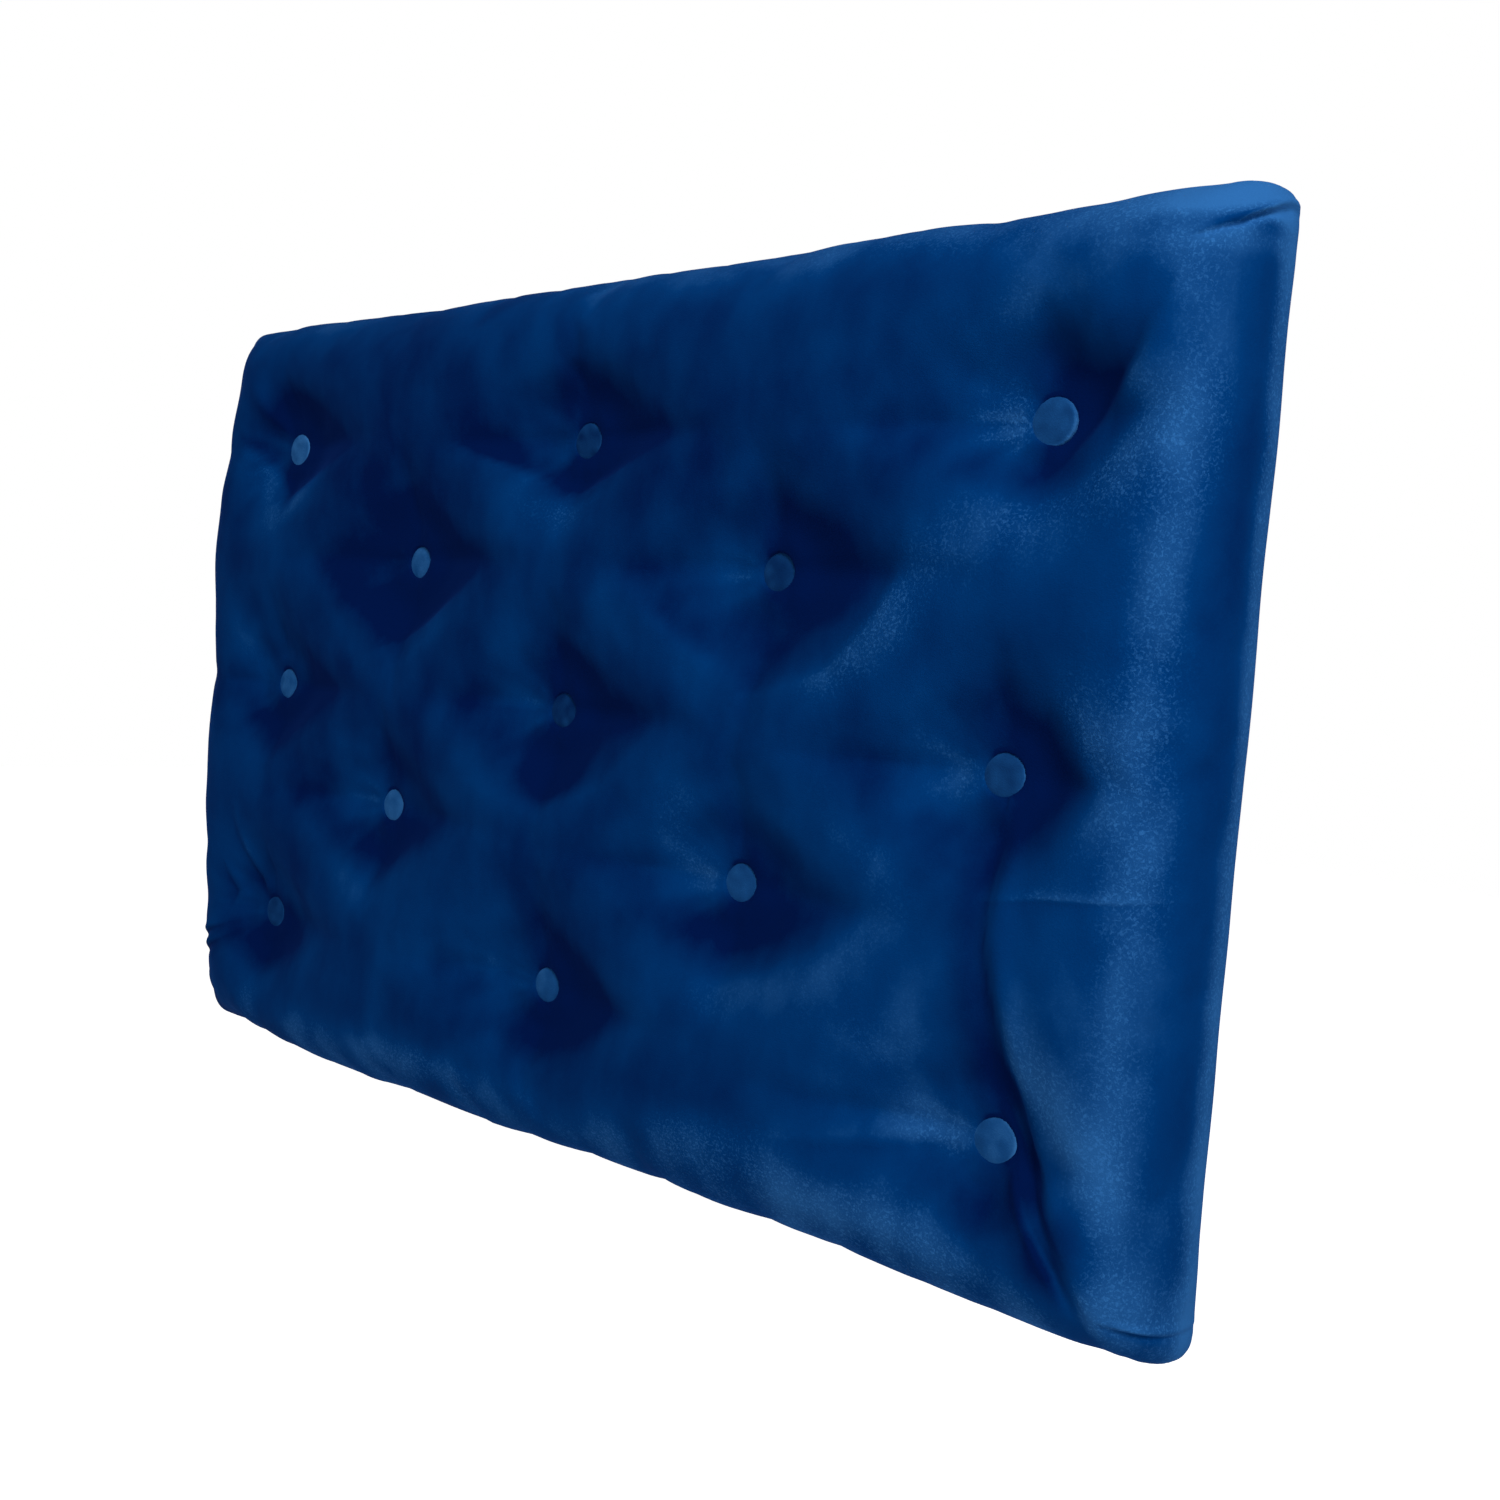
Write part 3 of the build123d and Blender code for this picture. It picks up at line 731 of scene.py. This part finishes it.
def bulge(points):
    """Moves the rolled sides out or in, most at the front. Only the right one moves at the back."""
    x, z = points[:, 0] - panel_center.x, points[:, 2] - panel_center.z
    depth = -points[:, 1]
    across, up = np.clip(x / half_width, -1, 1), np.clip(z / half_height, -1, 1)
    soft = fall(depth, edge_start, edge_start + edge_rise * bow_front_share)
    near_x = fall(np.abs(x), half_width - bow_inner, half_width - bow_outer)
    near_z = fall(np.abs(z), half_height - bow_inner, half_height - bow_outer)
    right_soft = right_bow_back + (1 - right_bow_back) * soft
    side = np.where(x < 0, bow_at(up, left_bow) * soft, bow_at(up, right_bow) * right_soft)
    end = np.where(z < 0, bow_at(across, bottom_bow), bow_at(across, top_bow)) * soft
    moved = points.copy()
    moved[:, 0] += np.sign(x) * clear_of_core(side, depth) * near_x
    moved[:, 2] += np.sign(z) * clear_of_core(end, depth) * near_z
    return moved


def wrap(p, q):
    """Where the sheet's points lie on the padded form, before its buttons draw it in."""
    length, insets, depths = edge_profile()
    half = np.array([half_width, half_height])
    flat = half - edge_reach
    place = np.stack([np.abs(p), np.abs(q)], axis=1)
    over = place - flat
    reach = np.maximum(over.max(axis=1), 0)
    inset = np.interp(reach, length, insets)
    depth = np.interp(reach, length, depths)
    side = half - inset[:, None]
    safe = np.maximum(reach, tiny)
    for axis in (0, 1):
        share = np.clip(over[:, axis] / safe, 0, 1)
        moved = flat[axis] + share * (side[:, axis] - flat[axis])
        place[:, axis] = np.where((reach > 0) & (over[:, axis] > 0), moved, place[:, axis])
    grown = corner_radius + corner_growth * inset
    radius = np.where(depth > hem_back + hem_turn, grown, corner_radius)
    radius = np.minimum(radius, side.min(axis=1) * corner_most)
    shrunk = np.maximum(corner_radius - inset, corner_least)
    radius = np.where(depth <= hem_back + level_tolerance, shrunk, radius)
    from_center = place - (side - radius[:, None])
    in_corner = (from_center > 0).all(axis=1)
    square = np.maximum(from_center.max(axis=1), tiny)
    circle = np.maximum(np.hypot(from_center[:, 0], from_center[:, 1]), tiny)
    rounded = side - radius[:, None] + from_center * (square / circle)[:, None]
    place = np.where(in_corner[:, None], rounded, place)
    sunk = np.minimum((np.abs(p) / flat[0]) ** 2, 1) + np.minimum((np.abs(q) / flat[1]) ** 2, 1)
    depth = depth + np.where(reach > 0, 0, crown_rise * (1 - sunk / 2))
    x = panel_center.x + np.sign(p) * place[:, 0]
    z = panel_center.z + np.sign(q) * place[:, 1]
    return bulge(np.stack([x, -depth, z], axis=1))


def hollow_of(name):
    """A hollow's tips, left, right, up and down of its button: none comes near the outline."""
    x, z = tufts[name].x - panel_center.x, tufts[name].z - panel_center.z
    across, along = half_width - hollow_edge_gap, half_height - hollow_edge_gap
    drop = hollow_down * row_drop_share[name[0]]
    return (
        min(hollow_left, across + x), min(hollow_right, across - x),
        min(hollow_up, along - z), min(drop, along + z),
    )


def diamond_reach(dx, dz, tips):
    """Distance from a button as a share of its hollow: 1 is the hollow's diamond rim."""
    left, right, up, down = tips
    across = np.abs(dx) / np.where(dx < 0, left, right)
    along = np.abs(dz) / np.where(dz < 0, down, up)
    return (across ** hollow_corner + along ** hollow_corner) ** (1 / hollow_corner)


def pull(dx, dz, tips):
    """How much of a button's draw reaches a point beside it."""
    rim = 1 / (1 + (diamond_reach(dx, dz, tips) / hollow_rim) ** hollow_wall)
    groove = funnel_groove * tips[3] / hollow_down
    below = np.clip(-dz, 0, groove)
    away = np.maximum(np.hypot(dx, dz + below * groove_stretch) - button_radius, 0)
    funnel = np.exp(-((away / funnel_spread) ** funnel_power))
    funnel = funnel * (1 - groove_fade * below / funnel_groove)
    return funnel_share * funnel + (1 - funnel_share) * rim


def edge_margin(p, q):
    """Distance from the sheet's nearest outline, below zero past it."""
    return np.minimum(half_width - np.abs(p), half_height - np.abs(q))


def swell_at(p, q):
    """How far the padding stands proud of the plain crown between the buttons."""
    return puff * np.clip(edge_margin(p, q) / puff_reach, 0, 1) ** puff_power


def draw_in(p, q):
    """How far the buttons draw each point in, as the sum of pulls that fits all their seats."""
    seats = np.array(
        [[spot.x - panel_center.x, spot.z - panel_center.z] for spot in tufts.values()]
    )
    hollows = [hollow_of(name) for name in tufts]
    between = np.stack(
        [pull(seats[:, 0] - x, seats[:, 1] - z, tips) for (x, z), tips in zip(seats, hollows)],
        axis=1,
    )
    crown = edge_start + edge_rise + crown_rise
    drops = crown - tuft_seat + swell_at(seats[:, 0], seats[:, 1])
    weights = np.linalg.solve(between, drops)
    total = np.zeros(len(p))
    for (x, z), tips, weight in zip(seats, hollows, weights):
        total = total + weight * pull(p - x, q - z, tips)
    total = total * fall(edge_margin(p, q), 0, draw_reach)
    uneven = np.array([noise(Vector((x, 0, z)) / ripple_size) for x, z in zip(p, q)])
    return total - swell_at(p, q) + ripple * uneven


def beside(points, route):
    """Each point's distance from a crease's line, its side, left 1 and right -1, and the fade."""
    x, z = points[:, 0] - panel_center.x, points[:, 2] - panel_center.z
    away, side, along = np.full(len(points), np.inf), np.zeros(len(points)), np.zeros(len(points))
    for number, (start, end) in enumerate(zip(route, route[1:])):
        start, end = np.array(start) * MM, np.array(end) * MM
        run = end - start
        share = np.clip(((x - start[0]) * run[0] + (z - start[1]) * run[1]) / (run @ run), 0, 1)
        off_x, off_z = x - start[0] - share * run[0], z - start[1] - share * run[1]
        closer = np.hypot(off_x, off_z) < away
        side = np.where(closer, np.sign(run[0] * off_z - run[1] * off_x), side)
        along = np.where(closer, (number + share) / (len(route) - 1), along)
        away = np.minimum(away, np.hypot(off_x, off_z))
    return away, side, np.sin(math.pi * (crease_fade_start + crease_fade_run * along))


def crease_lift(points):
    """The creases' relief: one side of the line stands up and the other is drawn under it."""
    lift = np.zeros(len(points))
    for route, width, fold, _, _ in creases:
        away, side, fade = beside(points, route)
        step = away / (width * MM)
        lift = lift + fold * MM * fade * side * step * np.exp(-(step ** 2)) * crease_gain
    return lift


def crease_painted_light_and_shade(points):
    """Painted light and shade beside the creases, side by side."""
    lay_and_painted_light = np.zeros(len(points))
    for route, width, _, left, right in creases:
        away, side, fade = beside(points, route)
        near = bell(away, 0, width * MM * crease_shade_width)
        near = near * fall(away, 0, crease_core * width * MM)
        lay_and_painted_light = lay_and_painted_light + fade * near * np.where(side > 0, left, right)
    return lay_and_painted_light


def stroked_pile_and_painted_light(points):
    """Patches painted paler or darker: partly the pile's stroked lay, partly painted light and
    shade.
    """
    lay_and_painted_light = np.zeros(len(points))
    x, z = points[:, 0] - panel_center.x, points[:, 2] - panel_center.z
    for middle_x, middle_z, half_long, half_wide, slope, paler in strokes:
        turn = math.radians(slope)
        off_x, off_z = x - middle_x * MM, z - middle_z * MM
        along = (off_x * math.cos(turn) + off_z * math.sin(turn)) / (half_long * MM)
        across = (off_z * math.cos(turn) - off_x * math.sin(turn)) / (half_wide * MM)
        lay_and_painted_light = lay_and_painted_light + paler * np.exp(-(along ** 2 + across ** 2) ** stroke_edge)
    return lay_and_painted_light


def upper_right(dx, dz):
    """How far a point's direction from a button leans to the upper right, where 1 is right."""
    return (dx + upward_share * dz) / np.maximum(np.hypot(dx, dz), tiny)


def lip_at(points):
    """How far the cloth stands up round the buttons, with a gap at the upper right of each."""
    lip = np.zeros(len(points))
    for spot in tufts.values():
        dx, dz = points[:, 0] - spot.x, points[:, 2] - spot.z
        away = np.hypot(dx, dz)
        start = lip_start + lip_gap * fall(upper_right(dx, dz), *lip_gap_turn)
        out = np.maximum(away - start - lip_width, 0)
        lip = lip + lip_height * fall(away, start, start + lip_width) * bell(out, 0, lip_spread)
    return lip


def refine(cover):
    """Splits the cloth's faces along the narrow creases and round the buttons."""
    centers = rows_of(cover.data.polygons, "center")
    near = np.zeros(len(centers), dtype=bool)
    for route, width, _, _, _ in creases:
        if width < fine_crease:
            near |= beside(centers, route)[0] < crease_near * width * MM
    for spot in tufts.values():
        near |= np.hypot(centers[:, 0] - spot.x, centers[:, 2] - spot.z) < button_near
    near &= centers[:, 1] < -hem_back - hem_turn
    pick_faces(cover, near)
    bpy.ops.mesh.subdivide(number_cuts=split_cuts, smoothness=0.0)
    bpy.ops.object.mode_set(mode="OBJECT")


def streaks(points, across, along, shift):
    """Brush marks: noise stretched along the height, a little aslant."""
    return np.array([
        noise(Vector((x / across, shift, (z + streak_slant * x) / along))) for x, _, z in points
    ]) * streak_gain


def hollow_painted_light_and_shade(points):
    """Painted shade in the hollows and at each button's upper right, painted light below the
    hollows and left of the buttons.
    """
    shade = np.zeros(len(points))
    light = np.zeros(len(points))
    flanks = np.zeros(len(points))
    for index, (name, spot) in enumerate(tufts.items()):
        dx, dz = points[:, 0] - spot.x, points[:, 2] - spot.z
        reach = diamond_reach(dx, dz, hollow_of(name))
        away = np.hypot(dx, dz)
        turn = np.arctan2(dz, dx)
        left = bell(np.abs(turn), flank_turn, flank_spread) * (1 - fall(away, *flank_run))
        inside = (1 - fall(reach, *dark_reach)) * (1 - flank_kept * left)
        below = bell(turn, -math.pi / 2, lit_spread)
        outside = fall(reach, *lit_reach) * (1 - fall(reach, *lit_end_reach)) * below
        rays = np.array([
            noise(Vector((angle * ray_grain[0], index * ray_grain[1], far * ray_grain[2])))
            for angle, far in zip(turn, away)
        ])
        # Painted light on each left flank and just left of the button, a painted shadow at its
        # upper right
        flanks = flanks + left * fall(away, *ray_start) * (painted_light_left_flank + painted_light_rays * rays)
        pale = np.exp(-(
            ((dx - pale_place[0]) / pale_half[0]) ** 2 + ((dz - pale_place[1]) / pale_half[1]) ** 2
        ))
        seat = (1 - fall(away, *seat_run)) * fall(upper_right(dx, dz), *seat_turn)
        flanks = flanks + painted_light_beside_button * pale + painted_shadow_at_seat * seat
        shade = np.maximum(shade, inside)
        light = np.maximum(light, outside)
    return painted_hollow_shade * shade + painted_light_below_hollow * light * (1 - shade) + flanks


def edge_painted_light_and_sheen(points):
    """Painted light, shade and sheen along the rolled edges: the lower, the upper and the
    right-hand one.
    """
    x, depth, z = points[:, 0], -points[:, 1], points[:, 2]
    bottom = fall(panel_center.z - half_height + bottom_height - z, 0, bottom_run)
    top = fall(z - panel_center.z - half_height + top_height, 0, top_run)
    inward = half_width - x
    rolled = np.sqrt(1 - np.clip((depth - edge_start) / edge_rise, 0, 1) ** 2)
    roll = bell(rolled, *roll_at) * fall(inward, *roll_run)
    turned = bell(rolled, *turned_at) * fall(inward, *turned_run)
    rim = fall(depth, *rim_depth) * fall(inward, *rim_run)
    cap = fall(inward, *cap_run) * fall(z, *cap_height)
    # Painted sheen along the bottom edge, streaked by brush marks, painted light on the top, brush
    # marks all over
    lay_and_painted_light = bottom * (painted_sheen_bottom + painted_sheen_bottom_streaks * streaks(points, *bottom_streak))
    lay_and_painted_light = lay_and_painted_light + painted_light_top * top + lay_streaks * streaks(points, *plain_streak)
    # Painted light towards the right-hand side and in a band on the right roll
    lay_and_painted_light = lay_and_painted_light + painted_light_across * fall(inward, *across_run) + painted_light_roll * roll
    # Painted shade where the roll turns, painted sheen on its rim at the back, a painted highlight
    # at the top right
    return lay_and_painted_light + painted_shade_turned * turned + painted_sheen_rim * rim + painted_highlight_cap * cap


def pile_and_painted_light(points):
    """How pale the cloth is painted, from 0, dark, to 1, pale: the pile's lay with painted light,
    shade and sheen.
    """
    lay_and_painted_light = lay_plain + hollow_painted_light_and_shade(points) + edge_painted_light_and_sheen(points)
    lay_and_painted_light = lay_and_painted_light + crease_painted_light_and_shade(points) + stroked_pile_and_painted_light(points)
    return np.clip(lay_middle + lay_contrast * (lay_and_painted_light - lay_middle), 0, 1)


def relax(cover, held):
    """Lets the cloth settle under the padding's pressure, with its hem and its seats held."""
    before = points_of(cover)
    pins = cover.vertex_groups.new(name="held")
    pins.add([int(index) for index in np.flatnonzero(held)], 1.0, "REPLACE")
    cloth = cover.modifiers.new("settle", "CLOTH")
    cloth.settings.vertex_group_mass = "held"
    cloth.settings.use_pressure = True
    cloth.settings.uniform_pressure_force = cloth_pressure
    cloth.settings.effector_weights.gravity = 0
    cloth.settings.tension_stiffness = cloth_stiffness
    cloth.settings.compression_stiffness = cloth_stiffness
    cloth.settings.bending_stiffness = cloth_bending
    cloth.settings.shrink_min = -cloth_growth
    cloth.point_cache.frame_start = 1
    cloth.point_cache.frame_end = cloth_frames
    for step in range(1, cloth_frames + 1):
        bpy.context.scene.frame_set(step)
    take(cover)
    bpy.ops.object.modifier_apply(modifier=cloth.name)
    bpy.context.scene.frame_set(1)
    cover.vertex_groups.clear()
    moved = points_of(cover) - before
    length = np.maximum(np.linalg.norm(moved, axis=1), tiny)
    set_points(cover, before + moved * (np.minimum(length, cloth_move) / length)[:, None])


def make_cover():
    length, _, _ = edge_profile()
    half_p = half_width - edge_reach + length[-1]
    half_q = half_height - edge_reach + length[-1]
    bare()
    bpy.ops.mesh.primitive_grid_add(
        x_subdivisions=round(2 * half_p / cell), y_subdivisions=round(2 * half_q / cell), size=2
    )
    cover = named("velvet_cover_cloth")
    sheet = points_of(cover)
    p, q = sheet[:, 0] * half_p, sheet[:, 1] * half_q
    set_points(cover, wrap(p, q))
    change_faces(cover, bpy.ops.mesh.normals_make_consistent)
    if normals_of(cover)[np.argmin(np.hypot(p, q))][1] > 0:
        change_faces(cover, bpy.ops.mesh.flip_normals)
    points = points_of(cover) - normals_of(cover) * draw_in(p, q)[:, None]
    set_points(cover, points)
    from_button = np.min(
        [np.hypot(p - spot.x, q - spot.z + panel_center.z) for spot in tufts.values()], axis=0
    )
    relax(cover, (from_button < button_radius) | (points[:, 1] > -edge_start))
    smooth = cover.modifiers.new("finer", "SUBSURF")
    smooth.levels = smooth.render_levels = 1
    apply_modifiers(cover)
    bpy.ops.object.shade_smooth()
    refine(cover)
    made = points_of(cover)
    lift = crease_lift(made) * fall(-made[:, 1], hem_back, edge_start)
    made = made + normals_of(cover) * lift[:, None]
    made[:, 1] -= lip_at(made)
    set_points(cover, made)
    # The cloth's paleness, with its painted light, shade and sheen, is stored on its points
    lay_and_painted_light = cover.data.attributes.new("lay_and_painted_light", "FLOAT", "POINT")
    lay_and_painted_light.data.foreach_set("value", pile_and_painted_light(made))
    return cover


velvet_blue = velvet("polyester_velvet_royal_blue", "001950", "003c7c", "2f6fb4", 0.12, 0.24)
cover = make_cover()
wear(cover, velvet_blue)
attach(cover, "root")
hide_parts("velvet_cover", "wadding", "foam_pad")


# The covered buttons: one is modelled, and each node gets its copy

# The dome's steps go in and up, from its edge to its middle
button_depth = node_size("button_c3").y
button_steps = [(2.2 * MM, 0.7 * MM), (2.8 * MM, 0.5 * MM), (3.4 * MM, 0.3 * MM)]
button_skirt = 1.2 * MM
button_rim = 1.1 * MM
button_sides = 36
button_facing = 0.9
pucker_start = 0.8 * button_radius
pucker_count = 17
pucker_depth = 0.12 * MM


def make_button():
    """A flat dome of velvet pulled over a shell, with a soft rim and a drawn-in skirt."""
    dome = sum(rise for _, rise in button_steps)
    bare()
    bpy.ops.mesh.primitive_cylinder_add(
        vertices=button_sides, radius=button_radius, depth=button_depth - dome
    )
    button = named("button_cloth")
    pick_faces(button, rows_of(button.data.polygons, "normal")[:, 2] > button_facing)
    for inward, rise in button_steps:
        bpy.ops.mesh.inset(thickness=inward)
        bpy.ops.transform.translate(value=(0, 0, rise))
    bpy.ops.object.mode_set(mode="OBJECT")
    pick_faces(button, rows_of(button.data.polygons, "normal")[:, 2] < -button_facing)
    bpy.ops.mesh.inset(thickness=button_skirt)
    bpy.ops.object.mode_set(mode="OBJECT")
    rim = button.modifiers.new("rim", "BEVEL")
    rim.width = button_rim
    rim.segments = 3
    rim.angle_limit = math.radians(50)
    smooth = button.modifiers.new("smooth", "SUBSURF")
    smooth.levels = smooth.render_levels = 1
    apply_modifiers(button)
    bpy.ops.object.shade_smooth()
    points = points_of(button)
    points[:, 2] += (button_depth - dome) / 2
    pucker = np.cos(np.arctan2(points[:, 1], points[:, 0]) * pucker_count) * pucker_depth
    outer = fall(np.hypot(points[:, 0], points[:, 1]), pucker_start, button_radius)
    points[:, :2] *= (1 + pucker * outer / button_radius)[:, None]
    set_points(button, np.stack([points[:, 0], -points[:, 2], points[:, 1]], axis=1))
    return button


# How pale each button is painted, as painted light and shade, and what its brushing and its rim add
button_painted_tone = {
    "a1": 0.62, "a3": 0.26, "a5": 0.52, "b2": 0.60, "b4": 0.34, "c1": 0.58, "c3": 0.26,
    "c5": 0.42, "d2": 0.55, "d4": 0.46, "e1": 0.28, "e3": 0.46, "e5": 0.48,
}
button_brush_size = 7 * MM
button_brush_lay = 0.14
rim_pale_start = 0.80 * button_radius
rim_pale_full = 0.98 * button_radius
worn_lay = 0.06
painted_highlight_right = 0.28
highlight_droop = 0.4
button_turn = 2.4

# The cover's velvet again, painted paler and greyer: a painted sheen on the buttons' tight tops
button_velvet_painted_paler = velvet("polyester_velvet_button_tops_painted_paler", "042658", "184f8c", "3a7abc", 0.15, 0.08)
pattern = make_button()
pattern_points = points_of(pattern)
for index, (name, spot) in enumerate(tufts.items()):
    button = pattern.copy()
    button.data = pattern.data.copy()
    button.name = button.data.name = f"button_{name}_cloth"
    bpy.context.collection.objects.link(button)
    turn = index * button_turn
    spun = pattern_points.copy()
    spun[:, 0] = pattern_points[:, 0] * math.cos(turn) - pattern_points[:, 2] * math.sin(turn)
    spun[:, 2] = pattern_points[:, 0] * math.sin(turn) + pattern_points[:, 2] * math.cos(turn)
    set_points(button, spun + [spot.x, -tuft_seat, spot.z])
    brushed = np.array([noise(Vector((x, y + index, z)) / button_brush_size) for x, y, z in spun])
    worn_and_lit_rim = fall(np.hypot(spun[:, 0], spun[:, 2]), rim_pale_start, rim_pale_full)
    # The rim: a little wear all round, and a painted highlight on its right, reaching lower
    to_right = np.clip((spun[:, 0] - highlight_droop * spun[:, 2]) / button_radius, 0, 1)
    worn_and_lit_rim = worn_and_lit_rim * (worn_lay + painted_highlight_right * to_right)
    lay_and_painted_light = button.data.attributes.new("lay_and_painted_light", "FLOAT", "POINT")
    lay_and_painted_light.data.foreach_set("value", button_painted_tone[name] + button_brush_lay * brushed + worn_and_lit_rim)
    wear(button, button_velvet_painted_paler)
    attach(button, "root")
    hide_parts(f"button_{name}")
bpy.data.objects.remove(pattern)


# The back: the dust cover, a stapled sheet with a folded edge

dust_low, dust_high = [Vector(corner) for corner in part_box("dust_cover")]
dust_cell = 8 * MM
dust_hem = 12 * MM
dust_hem_step = 1 * MM
dust_fold = 0.25 * MM
dust_sag = 0.35 * MM
dust_sag_run = 60 * MM
dust_wave_size = 85 * MM
dust_pucker = 0.18 * MM
dust_pucker_run = 30 * MM
staple_pitch = 45 * MM


def make_dust_cover():
    size = dust_high - dust_low
    middle = (dust_low + dust_high) / 2
    bare()
    bpy.ops.mesh.primitive_grid_add(
        x_subdivisions=round(size.x / dust_cell), y_subdivisions=round(size.z / dust_cell), size=2
    )
    sheet = named("dust_cover_cloth")
    flat = points_of(sheet)
    x, z = flat[:, 0] * size.x / 2, flat[:, 1] * size.z / 2
    margin = np.minimum(size.x / 2 - np.abs(x), size.z / 2 - np.abs(z))
    wave = np.array([noise(Vector((a, 3, b)) / dust_wave_size) for a, b in zip(x, z)])
    pucker = np.cos(math.tau * (x + z) / staple_pitch) * (1 - fall(margin, 0, dust_pucker_run))
    out = dust_sag * wave * fall(margin, 0, dust_sag_run) + dust_pucker * pucker
    out = out - dust_fold * fall(margin, dust_hem - dust_hem_step, dust_hem + dust_hem_step)
    set_points(sheet, np.stack([middle.x + x, middle.y + out, middle.z + z], axis=1))
    change_faces(sheet, bpy.ops.mesh.normals_make_consistent)
    wall = sheet.modifiers.new("wall", "SOLIDIFY")
    wall.thickness = dust_high.y - dust_low.y
    wall.offset = 0
    apply_modifiers(sheet)
    bpy.ops.object.shade_smooth()
    return sheet


dust_sheet = make_dust_cover()
wear(dust_sheet, fibre_cloth("spunbond_polypropylene_black", "0c0c0d", "242427", 0.9 * MM, 0.85))
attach(dust_sheet, "root")
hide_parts("dust_cover")


# Finishes of the pieces that keep their own shape

x_axis, z_axis = 0, 2
pine_across = wood("planed_pine_across", "e2c08c", "b98c55", x_axis, pine_ring_size)
pine_up = wood("planed_pine_up", "e2c08c", "b98c55", z_axis, pine_ring_size)
zinc = zinc_plate("zinc_plated_steel", "a9aeb3", 0.34)
staple_wire = zinc_plate("galvanised_staple_wire", "8f9499", 0.42)
birch = wood("birch_plywood_face", "e6cda2", "c9a672", x_axis, birch_ring_size)
beech = wood("turned_beech_dowel", "d9b78e", "b98f64", x_axis, beech_ring_size)
waxed_twine = twisted_twine("waxed_nylon_twine")
black_nylon = moulded_nylon("moulded_nylon_black", "121214")
felt = fibre_cloth("pressed_wool_felt_grey", "5d5f62", "8b8d90", 0.7 * MM, 0.95)
finishes = {
    pine_across: ("top_rail", "bottom_rail", "corner_block_top_left", "corner_block_top_right",
                  "corner_block_bottom_left", "corner_block_bottom_right"),
    pine_up: ("left_stile", "right_stile", "left_upright", "right_upright"),
    birch: ("backing_panel",),
    beech: ("frame_dowels",),
    zinc: ("left_hanger_plate", "right_hanger_plate", "hanger_screws", "button_shells",
           "button_backs"),
    staple_wire: ("cover_staples", "dust_cover_staples", "panel_nails", "button_eyes"),
    waxed_twine: ("tufting_twines",),
    black_nylon: ("twine_anchors",),
    felt: ("left_wall_pad", "right_wall_pad"),
}
for finish, nodes in finishes.items():
    for node in nodes:
        wear(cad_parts[node], finish)


# Camera, light and floor

camera_place = (0.70338, -0.72189, -0.23354)
camera_turn = (87.04, -4.55, 39.02)
camera_lens = 34.14
camera_sensor = 36
floor_drop = 0.35
floor_size = 12
floor_glow = 0.9
key_place, key_size, key_power = (1.55, -1.3, 1.25), (0.9, 0.9), 38
fill_place, fill_size, fill_power = (0.4, -2.6, 0.4), (1.6, 1.0), 5
ambient = 0.12

bpy.ops.object.camera_add(
    location=camera_place, rotation=[math.radians(turn) for turn in camera_turn]
)
camera = named("camera")
camera.data.lens = camera_lens
camera.data.sensor_width = camera_sensor
bpy.context.scene.camera = camera


def seen_plainly(tree):
    """1 on rays that show a surface, straight or in a gloss or glass, and 0 on light for others."""
    path = add_node(tree, "ShaderNodeLightPath")
    seen = path.outputs["Is Camera Ray"]
    for ray in ("Is Glossy Ray", "Is Transmission Ray"):
        either = {0: seen, 1: path.outputs[ray]}
        seen = add_node(tree, "ShaderNodeMath", either, operation="MAXIMUM").outputs[0]
    return seen


bare()
floor_height = panel_center.z - half_height - floor_drop
bpy.ops.mesh.primitive_plane_add(size=floor_size, location=(0, 0, floor_height))
floor = named("floor")
floor_white, tree, shader, _ = new_material(
    "matt_white_floor",
    in_Base_Color=srgb("f0f0f0"), in_Roughness=0.9, in_Emission_Color=(1, 1, 1, 1),
)
glow = add_node(
    tree, "ShaderNodeMath", {0: seen_plainly(tree)}, in_1=floor_glow, operation="MULTIPLY"
)
tree.links.new(glow.outputs[0], shader.inputs["Emission Strength"])
wear(floor, floor_white)


def softbox(name, place, size, power):
    """A square or wide lamp that looks at the panel's middle."""
    bpy.ops.object.light_add(type="AREA", location=place)
    lamp = named(name)
    lamp.data.shape = "RECTANGLE"
    lamp.data.size, lamp.data.size_y = size
    lamp.data.energy = power
    lamp.rotation_euler = (panel_center - Vector(place)).to_track_quat("-Z", "Y").to_euler()


softbox("key_softbox", key_place, key_size, key_power)
softbox("fill_softbox", fill_place, fill_size, fill_power)

world = bpy.context.scene.world or bpy.data.worlds.new("world")
bpy.context.scene.world = world
world.use_nodes = True
tree = world.node_tree
tree.nodes.clear()
strength = add_node(
    tree, "ShaderNodeMapRange", {"Value": seen_plainly(tree)}, in_To_Min=ambient, in_To_Max=1.0
)
light = add_node(
    tree, "ShaderNodeBackground", {"Strength": strength.outputs[0]}, in_Color=(1, 1, 1, 1)
)
output = add_node(tree, "ShaderNodeOutputWorld")
tree.links.new(light.outputs[0], output.inputs["Surface"])

bpy.context.scene.view_settings.view_transform = "Standard"
